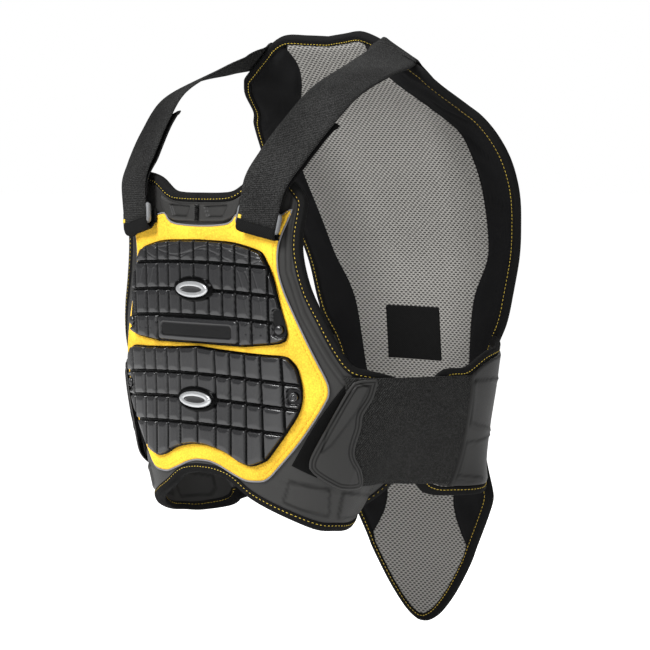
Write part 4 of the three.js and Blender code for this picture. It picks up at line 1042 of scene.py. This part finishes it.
topInner = innerHalf[0][innerHalf[0][:, 0] < meshFlank[0, 0] - 2]
tailInner = innerHalf[2][innerHalf[2][:, 0] < meshFlank[-1, 0] - 2]
ends = [spacedLoop(path, 1, False) for path in (np.concatenate([topInner, meshFlank[:1]]),
                                                np.concatenate([meshFlank[-1:], tailInner]))]
meshHalf = (byShare(ends[0], np.linspace(0, 1, 50)), meshFlank, byShare(ends[1], np.linspace(0, 1, 50)))
meshGrid = mirrored(patch(meshHalf))
meshRim = rimDistance(meshGrid, loopOf(meshHalf))
meshIn = gap - meshThick - .7 * smooth(meshRim, 0, 10)
meshIn += .8 * ridge(polyDistance(bothSides(meshGrid), tailSeam), 1.2)
spacer = slabPiece("back_spacer_mesh", backPoint, meshGrid, gap, meshIn, spacerCloth)
standsFor("back_mesh")

# side linings: slanting folds that die out at the edges, and a few sunk seams
liningSeams = ([[165, 118], [112, 82]], [[168, 158], [118, 118]], [[160, 205], [126, 190], [118, 160]],
               [[104, 500], [90, 540], [96, 570]])
outer = np.concatenate([innerHalf[0][innerHalf[0][:, 0] > meshFlank[0, 0] + 3], innerHalf[1][1:],
                        innerHalf[2][1:][innerHalf[2][1:, 0] > meshFlank[-1, 0] + 3]])
outer = byShare(outer, np.linspace(0, 1, linerRows))
shares = np.linspace(0, 1, 34)[None, :, None]
liningGrid = meshFlank[:, None] * (1 - shares) + outer[:, None] * shares
liningRim = edgeDistance(liningGrid)
u, v = liningGrid[..., 0], liningGrid[..., 1]
folds = (.8 * np.sin(v / 9 + u / 14 + 2.2 * np.sin(v / 43))
         + .5 * np.sin(v / 5.3 - u / 8 + 1.3 * np.sin(v / 31)))
liningIn = -1.4 - (1.2 + folds) * smooth(liningRim, 0, 9)
for line in liningSeams:
    liningIn += 1.3 * ridge(polyDistance(liningGrid, line), 1.5) * smooth(liningRim, 0, 6)
liningLeft = slabPiece("side_lining_left", backPoint, liningGrid, gap, liningIn, liningCloth)
bothStandFor(liningLeft, "back_side_lining_left")

label = {"width": 77, "height": 56, "across": -4, "down": 340, "thick": 1.2, "top": -2.7, "lap": .4,
         "hem": 3.2, "hemHigh": .35}
lx, ly = np.meshgrid(np.linspace(-.5, .5, 60) * label["width"], np.linspace(-.5, .5, 44) * label["height"])
labelGrid = np.stack([label["across"] + lx, label["down"] + ly], -1)
edge = np.minimum(label["width"] / 2 - np.abs(lx), label["height"] / 2 - np.abs(ly))
labelIn = label["top"] - rounded(edge, 1, label["thick"]) + label["hemHigh"] * ridge(edge - label["hem"], .6)
wovenPatch = slabPiece("woven_patch", backPoint, labelGrid, label["top"] + label["lap"], labelIn, webbing)
standsFor("inner_label")
print("stage: back done")

# shoulder straps: stations from the ring over the shoulder, then down the back's outer face
strap = {"width": 53, "ringWidth": 45, "rearWidth": 46, "thick": 2, "crown": .35, "bow": 22, "lift": 12.9,
         "front": (.395, .327), "endLength": 104, "endThick": 1.3, "over": 6, "steps": 190}
strapRows = rowsOf("rear up bow tilt turn", (
    (0, 0, 0, -.2, .19), (.025, .207, .27, -.14, .2), (.11, .355, .5, -.13, .2), (.25, .55, .82, -.16, .2),
    (.426, .742, 1.05, -.17, .22), (.714, .89, .84, -.26, .14), (.9, .955, .4, -.42, .18)))
rearSpots = ((.57, -2, 1), (.57, -1.1, 6.1), (.56, 4, 8.5), (.54, 18, 10.8), (.52, 44, 13.4), (.5, 72, 16))


def rearCentre(spot, sideways=0):
    # share across, millimetres below the back's top edge, millimetres off its surface
    across = spot[0] + sideways
    edge = through([(a, d) for a, d in backShape["top"]], across)
    return backPoint(across * half, deep * edge + spot[1], spot[2])


def centripetal(points, shares):
    # Catmull-Rom whose knots are spaced by the root of the distance
    p = np.concatenate([[2 * points[0] - points[1]], points, [2 * points[-1] - points[-2]]])
    t = np.asarray(shares) * (len(points) - 1)
    i = np.minimum(t.astype(int), len(points) - 2)
    q = (t - i)[:, None]
    a, b, c, d = p[i], p[i + 1], p[i + 2], p[i + 3]
    h0, h1, h2 = (np.maximum(np.linalg.norm(far - near, axis=1), 1e-6)[:, None] ** .5
                  for near, far in ((a, b), (b, c), (c, d)))
    m1 = ((b - a) / h0 - (c - a) / (h0 + h1) + (c - b) / h1) * h1
    m2 = ((c - b) / h1 - (d - b) / (h1 + h2) + (d - c) / h2) * h1
    return b + m1 * q + (-3 * b + 3 * c - 2 * m1 - m2) * q ** 2 + (2 * b - 2 * c + m1 + m2) * q ** 3


def strapStations():
    # middle of the strap and its direction across, at each station
    front = chestPoint(strap["front"][0] * reach, strap["front"][1] * tall, strap["lift"])
    top = rearCentre(rearSpots[0])
    centres = [front + (top - front) * (r["rear"], r["rear"], r["up"]) + (strap["bow"] * r["bow"], 0, 0)
               for r in strapRows] + [rearCentre(spot) for spot in rearSpots]
    across = np.array([[1, r["turn"], r["tilt"]] for r in strapRows]
                      + [rearCentre(spot, .05) - rearCentre(spot, -.05) for spot in rearSpots])
    return np.array(centres), unit(across)


def strapFrames(count):
    # middle, along, across and out at even steps, and the length
    centres, across = strapStations()
    fine = np.linspace(0, 1, 1500)
    run = runOf(centripetal(centres, fine))
    t = np.interp(np.linspace(0, run[-1], count), run, fine)
    middle = centripetal(centres, t)
    along = np.gradient(middle, axis=0)
    along = unit(along)
    side = centripetal(across, t)
    out = np.cross(side, along)
    out = unit(out)
    return middle, along, np.cross(along, out), out, run[-1]


def ribbonPiece(name, frames, width, high, low, material, crown=0.):
    # rounded flat section between two depths, crowned a little on its outer face
    middle, along, across, out = frames
    face = np.linspace(-1, 1, 17)
    x = np.concatenate([face, np.linspace(1, -1, 9)])
    edge = np.concatenate([1 - .5 * np.abs(face) ** 24, np.zeros(9)])
    bulge = np.concatenate([crown * (1 - face ** 2), np.zeros(9)])
    low, high = (np.reshape(v, (-1, 1)) for v in (low, high))
    level = low + (high - low) * edge + bulge
    points = (middle[:, None] + across[:, None] * (x[None, :, None] * width[:, None, None] / 2)
              + out[:, None] * level[..., None])
    uv = np.stack(np.broadcast_arrays(runOf(middle)[:, None], x[None] * width[:, None] / 2), -1)
    return meshPiece(name, points, tubeQuads(len(middle), len(x), False), material, uv)


*frames, strapLength = strapFrames(strap["steps"])
share = np.linspace(0, 1, strap["steps"])
width = (strap["ringWidth"] + (strap["width"] - strap["ringWidth"]) * smooth(share, 0, .22)
         - (strap["width"] - strap["rearWidth"]) * smooth(share, .55, .85))
longer = [np.concatenate([f[:1], f]) for f in frames]
longer[0][0] -= strap["over"] * frames[1][0]
strapLeft = ribbonPiece("shoulder_strap_left_web", longer, np.concatenate([width[:1], width]),
                        strap["thick"] / 2, -strap["thick"] / 2, knitStrap, strap["crown"])
# the end lies behind the strap, stands off more and more, and is thicker at its hook patch
onEnd = (share > 1 / 24) & (share * strapLength < strap["endLength"] + 20 - strapLength / 48)
endFrames = [f[onEnd] for f in frames]
endRun = np.linspace(0, 1, onEnd.sum())
endHook = smooth(endRun, .93, .96)
endHigh = -strap["thick"] / 2 - gap - 3 * smooth(endRun, .05, .4) - smooth(endRun, .8, 1)
endLeft = ribbonPiece("strap_end_left_web", endFrames, width[onEnd] + .6 + 1.4 * endHook, endHigh,
                      endHigh - strap["endThick"] - .8 * endHook, webbing)

ring = {"width": 51, "height": 21, "bar": 4, "thick": 3, "up": 5, "corner": 3.2, "flatten": 1.25}
ringMiddle, ringAlong, ringAcross, ringOut = (f[0] for f in frames)
halfRing = np.array([ring["width"], ring["height"]]) / 2 - ring["bar"] / 2 - ring["corner"]
turn = np.linspace(0, np.pi / 2, 7)
ringPath = np.concatenate([
    np.stack([sx * halfRing[0] + ring["corner"] * np.cos(turn + a),
              sy * halfRing[1] + ring["corner"] * np.sin(turn + a)], -1)
    for sx, sy, a in ((1, 1, 0), (-1, 1, np.pi / 2), (-1, -1, np.pi), (1, -1, np.pi * 1.5))])
ringPlace = (ringMiddle - ringOut * (strap["thick"] / 2 + gap + ring["thick"] / 2)
             + ringAlong * (-ring["height"] / 2 + ring["bar"] + ring["up"]))
ringCentres = ringPlace + ringPath[:, :1] * ringAcross + ringPath[:, 1:] * ringAlong
ringLeft = cordPiece("ring_left", ringCentres, np.repeat(ringOut[None], len(ringPath), 0), ring["bar"] / 2,
                     greyPlastic, True, 14, ring["flatten"])

# ring tab on the panel, and its fold over the ring's lower bar: a side profile carried across
ringTab = {"width": 41, "height": 15, "low": .9, "edge": .6, "roll": 1, "rollWide": .8, "rib": .16,
           "ribPitch": 2.1, "corners": [[.285, .346], [.47, .311], [.476, .263], [.279, .308]],
           "foldWidth": 46, "foldThick": 1.6, "foldSteps": 40,
           "profile": [[2, -2.2], [-1.2, -.9], [-6, -.1], [-11, -.4], [-14.8, -2], [-16.4, -4.6],
                       [-15.4, -7.4], [-11, -9.6]]}
p = np.array(ringTab["corners"]) * (reach, tall)
a, b = np.linspace(0, 1, 60)[None, :, None], np.linspace(0, 1, 26)[:, None, None]
tabGrid = (p[0] * (1 - a) + p[1] * a) * (1 - b) + (p[3] * (1 - a) + p[2] * a) * b
tabLow = panelTop + ringTab["low"]
tabUv = np.stack(np.broadcast_arrays(a[..., 0] * ringTab["width"], b[..., 0] * ringTab["height"]), -1)
tabRim = edgeDistance(tabGrid)
tabOut = (tabLow + ringTab["edge"] + rounded(tabRim, ringTab["rollWide"], ringTab["roll"])
          + ringTab["rib"] * np.sin(tabUv[..., 1] * 2 * np.pi / ringTab["ribPitch"]))
tabLeft = slabPiece("ring_tab_left", chestPoint, tabGrid, tabOut, tabLow, webbing, tabUv)
count = ringTab["foldSteps"]
profile = centripetal(np.array(ringTab["profile"]), np.linspace(0, 1, count))
foldMiddle = ringMiddle + profile[:, :1] * ringAlong + profile[:, 1:] * ringOut
foldAlong = np.gradient(foldMiddle, axis=0)
foldAlong = unit(foldAlong)
foldAcross = np.repeat(ringAcross[None], count, 0)
foldWidth = np.full(count, float(ringTab["foldWidth"]))
foldLeft = ribbonPiece("tab_fold_left", (foldMiddle, foldAlong, foldAcross, np.cross(foldAlong, foldAcross)),
                       foldWidth, ringTab["foldThick"] / 2, -ringTab["foldThick"] / 2, webbing, .15)
tack = {"wide": 3.6, "high": .9, "from": -4.6, "to": -1.2, "steps": 6, "across": 19}


def tackPiece(name, across):
    # small block of thread on the strap's face, just above the ring
    at = [np.repeat(f[:1], tack["steps"], 0) for f in frames]
    at[0] = at[0] + at[2] * across + at[1] * np.linspace(tack["from"], tack["to"], tack["steps"])[:, None]
    face = strap["thick"] / 2
    return ribbonPiece(name, at, np.full(tack["steps"], tack["wide"]), face + tack["high"], face - .2,
                       yellowThread, .2)


# both tacks are on the side that the camera sees as left
tackPiece("strap_tack_left", -tack["across"])
spareTack = tackPiece("strap_tack_spare", tack["across"])
flipPiece(spareTack, "strap_tack_right")
bpy.data.objects.remove(spareTack)
bothStandFor(foldLeft, None)
for piece, node, slot in ((strapLeft, "shoulder_strap_left", "elastic"),
                          (endLeft, "strap_end_left", "webbing"),
                          (ringLeft, "strap_ring_left", "grey_plastic"),
                          (tabLeft, "strap_tab_left", "webbing")):
    bothStandFor(piece, node)
print("stage: straps done")


# belts: landing patch, elastic, closing tab and rear flap, each over the one before
def wingStrip(top, bottom, columns, rows):
    # grid between two lines of the wing, along the flank from the wing's end
    upper, lower = (line2(r, reach, tall, np.linspace(0, 1, columns)) - (reach, 0) for r in (top, bottom))
    t = np.linspace(0, 1, rows)[:, None, None]
    return upper[None] * (1 - t) + lower[None] * t


hook = {"top": [[.487, -.355], [.59, -.25], [.69, -.165], [.777, -.101]],
        "bottom": [[.59, -.388], [.69, -.3], [.79, -.21], [.86, -.135]]}
hookGrid = wingStrip(hook["top"], hook["bottom"], 60, 24)
hookOut = layer + rounded(edgeDistance(hookGrid), 1, belt["patch"])
hookLeft = slabPiece("hook_field_left", flankPoint, hookGrid, hookOut, layer, hookCloth)

elastic = {"front": .74, "edge": .5, "roll": .8, "seams": (5.5, 9), "seamDeep": .45, "seamWide": .8}
elasticLow = layer + belt["patch"] + layer + gap
elasticTop = elasticLow + belt["thick"]
s, t = np.meshgrid(eased(110, .3), eased(50, .6))
elasticUp = (belt["top"] - belt["fall"][0] * s) * (1 - t) + (belt["bottom"] - belt["fall"][1] * s) * t
elasticRear = flap["seam"] - layer + (.5 - t) * flap["slant"]
elasticGrid = np.stack([(elastic["front"] - 1) * reach * (1 - s) + elasticRear * s, elasticUp], -1)
elasticRim = edgeDistance(elasticGrid)
elasticOut = (elasticLow + elastic["edge"]
              + rounded(elasticRim, elastic["roll"], belt["thick"] - elastic["edge"]))
for seam in elastic["seams"]:
    elasticOut -= elastic["seamDeep"] * ridge(elasticRear - elasticGrid[..., 0] - seam, elastic["seamWide"])


def easedFlank(along, up, out=0):
    # mean over 24 mm along, which rounds the corner at the wing's end
    return np.mean([flankPoint(along + shift, up, out + .5) for shift in (-12, -8, -4, 0, 4, 8, 12)], axis=0)


elasticLeft = slabPiece("belt_web_left", easedFlank, elasticGrid, elasticOut, elasticLow, knitBelt)

# closing tab: two grooves inside its rim, a raised bare field and a short welt
closing = {"top": [[.564, -.36], [.578, -.324], [.665, -.228], [.755, -.134], [.793, -.115], [.867, -.111]],
           "bottom": [[.58, -.377], [.626, -.402], [.685, -.423], [.775, -.421], [.779, -.376], [.75, -.32],
                      [.785, -.25], [.8, -.21], [.845, -.165], [.872, -.118]],
           "field": [[-84, -107], [-75, -100], [-50, -68], [-37, -45], [-44, -42], [-53, -49], [-76, -84]],
           "welt": [[-50, -110], [-62, -138]], "grooves": (2.6, 5.4), "edge": .8}
closingGrid = wingStrip(closing["top"], closing["bottom"], 110, 60)
closingLow = elasticTop + layer + 2 * gap
closingRim = edgeDistance(closingGrid)
closingOut = closingLow + closing["edge"] + rounded(closingRim, 2, belt["tabThick"] - closing["edge"])
# painted shade round the raised field and in the two grooves; the whole tab is held at .85
closingPaintedShade = .85 - .5 * ridge(rimDistance(closingGrid, np.array(closing["field"], float)), 1)
for inwards in closing["grooves"]:
    closingOut -= .6 * ridge(closingRim - inwards, .6)
    closingPaintedShade -= .7 * ridge(closingRim - inwards, .7)
closingOut += 1.3 * field(closingGrid, closing["field"], 1)
closingOut += .5 * ridge(polyDistance(closingGrid, closing["welt"]), 1.6)
closingLeft = slabPiece("closing_tab_left", flankPoint, closingGrid, closingOut, closingLow, leatherette)
paintedShadeOf(closingLeft, closingPaintedShade)

# rear flap: its top and bottom by share of its length, and its moulded lines behind the seam
flapTops = ((0, -.129), (.055, -.107), (.29, -.09), (.42, -.055), (.6, -.04), (.8, -.034), (1, -.03))
flapLows = ((0, -.42), (.04, -.434), (.113, -.462), (.18, -.4735), (.316, -.479), (.6, -.482), (.8, -.482),
            (1, -.48))
flapLines = ([[2.5, -40], [2.5, -152]], [[6, -48], [7, -90], [20, -94], [56, -101]], [[6, -48], [90, -49]],
             [[6, -140], [6, -110], [24, -110], [60, -104]], [[6, -144], [40, -149]])
flapEnd = float(flankLength((belt["top"] + belt["bottom"]) / 2))


def flapGrid(margin, rows=60, front=34, rear=60):
    # columns ahead of the slanting seam and behind it, rows between the top and bottom lines
    t = np.linspace(0, 1, rows)[:, None]
    seam = flap["seam"] + (.5 - t) * flap["slant"]
    step = np.concatenate([np.linspace(0, 1, front), np.linspace(0, 1, rear)])[None]
    ahead = (np.arange(front + rear) < front)[None]
    near = np.where(ahead, flap["front"] + (seam - flap["front"]) * step, seam + (flapEnd - seam) * step)
    share = (near - flap["front"]) / (flapEnd - flap["front"])
    top = tall * through(flapTops, share) - margin
    bottom = tall * through(flapLows, share) + margin
    up = top * (1 - t) + bottom * t
    along = np.where(ahead, flap["front"] + margin + (seam - flap["front"] - margin) * step,
                     seam + .6 + (flankLength(up) - seam - .6) * step)
    return np.stack([along, up], -1), seam


flapLevel = elasticLow - layer - gap
grid, seam = flapGrid(bindWidth + layer)
beyond = grid[..., 0] - seam
flapPaintedShade = np.ones(beyond.shape)
flapOut = np.where(beyond > .3, elasticTop - .5 + .9 * smooth(beyond, 0, 7), flapLevel)
flapOut = flapOut - .8 + rounded(edgeDistance(grid), 2.5, .8)
p = np.stack([beyond, grid[..., 1]], -1)
for line in flapLines:
    far = polyDistance(p, line)
    flapOut = flapOut + np.where(beyond > .3, 1.1 * ridge(far, 1.3), 0)
    # painted shade beside each moulded line
    flapPaintedShade = flapPaintedShade - .45 * ridge(far - 2.4, 1)
flapLeft = slabPiece("rear_flap_left", flankPoint, grid, flapOut, flapLevel - flap["thick"], leatherette)
# painted shade: the whole flap darkened to .68 of the leatherette, a shaded copy of it
paintedShadeOf(flapLeft, .68 * np.clip(flapPaintedShade, .2, 1))


def openRim(margin):
    # the flap's top, front and bottom; its rear end is sewn into the back
    g = flapGrid(margin)[0]
    return np.concatenate([g[0][::-1], g[1:-1, 0], g[-1]])


both = spacedLoop(np.concatenate([openRim(0), openRim(bindWidth)], 1), 3, False)
flapRim, flapInner = both[:, :2], both[:, 2:]
flapFace = flapLevel + bindProud / 2
flapBraidLeft = bandPiece("flap_braid_left", flankPoint, flapRim, flapInner,
                          flapLevel - flap["thick"] - bindProud, flapFace, bindCloth, False)
flapSeam = flapRim * .35 + flapInner * .65
flapStitchLeft = stitchPiece("flap_stitches_left", [(flankPoint, flapSeam, flapFace + .25, False)],
                             yellowThread)
for piece, node, slot in ((hookLeft, "hook_patch_left", "soft_lining"),
                          (elasticLeft, "belt_elastic_left", "elastic"),
                          (closingLeft, "belt_tab_left", "leatherette"),
                          (flapLeft, "belt_flap_left", "leatherette"),
                          (flapBraidLeft, "flap_binding_left", "braid"), (flapStitchLeft, None, "braid")):
    bothStandFor(piece, node)
print("stage: belts done")

# every piece rides on the one body
for piece in list(bpy.context.scene.objects):
    if piece.type == "MESH" and piece.name not in frame["nodes"]:
        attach(piece, "root")

# pale round floor that runs out to a white horizon; the camera sees it and the world brighter
stage = {"floor": -.6, "radius": 40., "sides": 96, "floorGlow": .08, "floorSeen": .7, "worldGlow": .27,
         "worldSeen": .73}


def glow(nodes, links, socket, always, seen):
    # strength that is higher on the rays that come straight from the camera
    path = nodes.new("ShaderNodeLightPath")
    links.new(mathNode(nodes, links, "MULTIPLY_ADD", path.outputs["Is Camera Ray"], seen, always), socket)


white, nodes, links, shader = newMaterial("stage_white", (.9, .9, .9), .9, gloss=0.)
shader.inputs["Emission Color"].default_value = (1, 1, 1, 1)
glow(nodes, links, shader.inputs["Emission Strength"], stage["floorGlow"], stage["floorSeen"])
around = np.linspace(0, 2 * np.pi, stage["sides"], endpoint=False)
rim = np.stack([stage["radius"] * np.cos(around), stage["radius"] * np.sin(around),
                0 * around + stage["floor"]], -1)
floorMesh = bpy.data.meshes.new("floor")
floorMesh.from_pydata(rim.tolist(), [], [list(range(stage["sides"]))])
floorMesh.materials.append(white)
floor = bpy.data.objects.new("floor", floorMesh)
bpy.context.scene.collection.objects.link(floor)
world = bpy.data.worlds.new("studio")
bpy.context.scene.world = world
world.use_nodes = True
nodes, links = world.node_tree.nodes, world.node_tree.links
nodes["Background"].inputs["Color"].default_value = (1, 1, 1, 1)
glow(nodes, links, nodes["Background"].inputs["Strength"], stage["worldGlow"], stage["worldSeen"])
bpy.context.scene.view_settings.view_transform = "Standard"


def softLight(name, left, near, up, size, power):
    # placed by metres to the picture's left, towards the camera and up, aimed at the vest
    spot = camAim - camRight * left + np.array([camOut[0], camOut[1], 0]) * near + np.array([0, 0, up])
    light = bpy.data.objects.new(name, bpy.data.lights.new(name, "AREA"))
    light.data.size, light.data.energy = size, power
    light.location = spot
    light.rotation_euler = Vector((camAim - spot).tolist()).to_track_quat("-Z", "Y").to_euler()
    bpy.context.scene.collection.objects.link(light)


softLight("key", 1.5, 1.3, 1.5, .9, 66)
softLight("fill", -1.2, 2.2, .6, 1.4, 9)
softLight("rim", -1., -1.2, 1.6, .8, 8)
softLight("top", .1, .1, 2.1, 1.2, 22)
print("stage: floor and lights done")
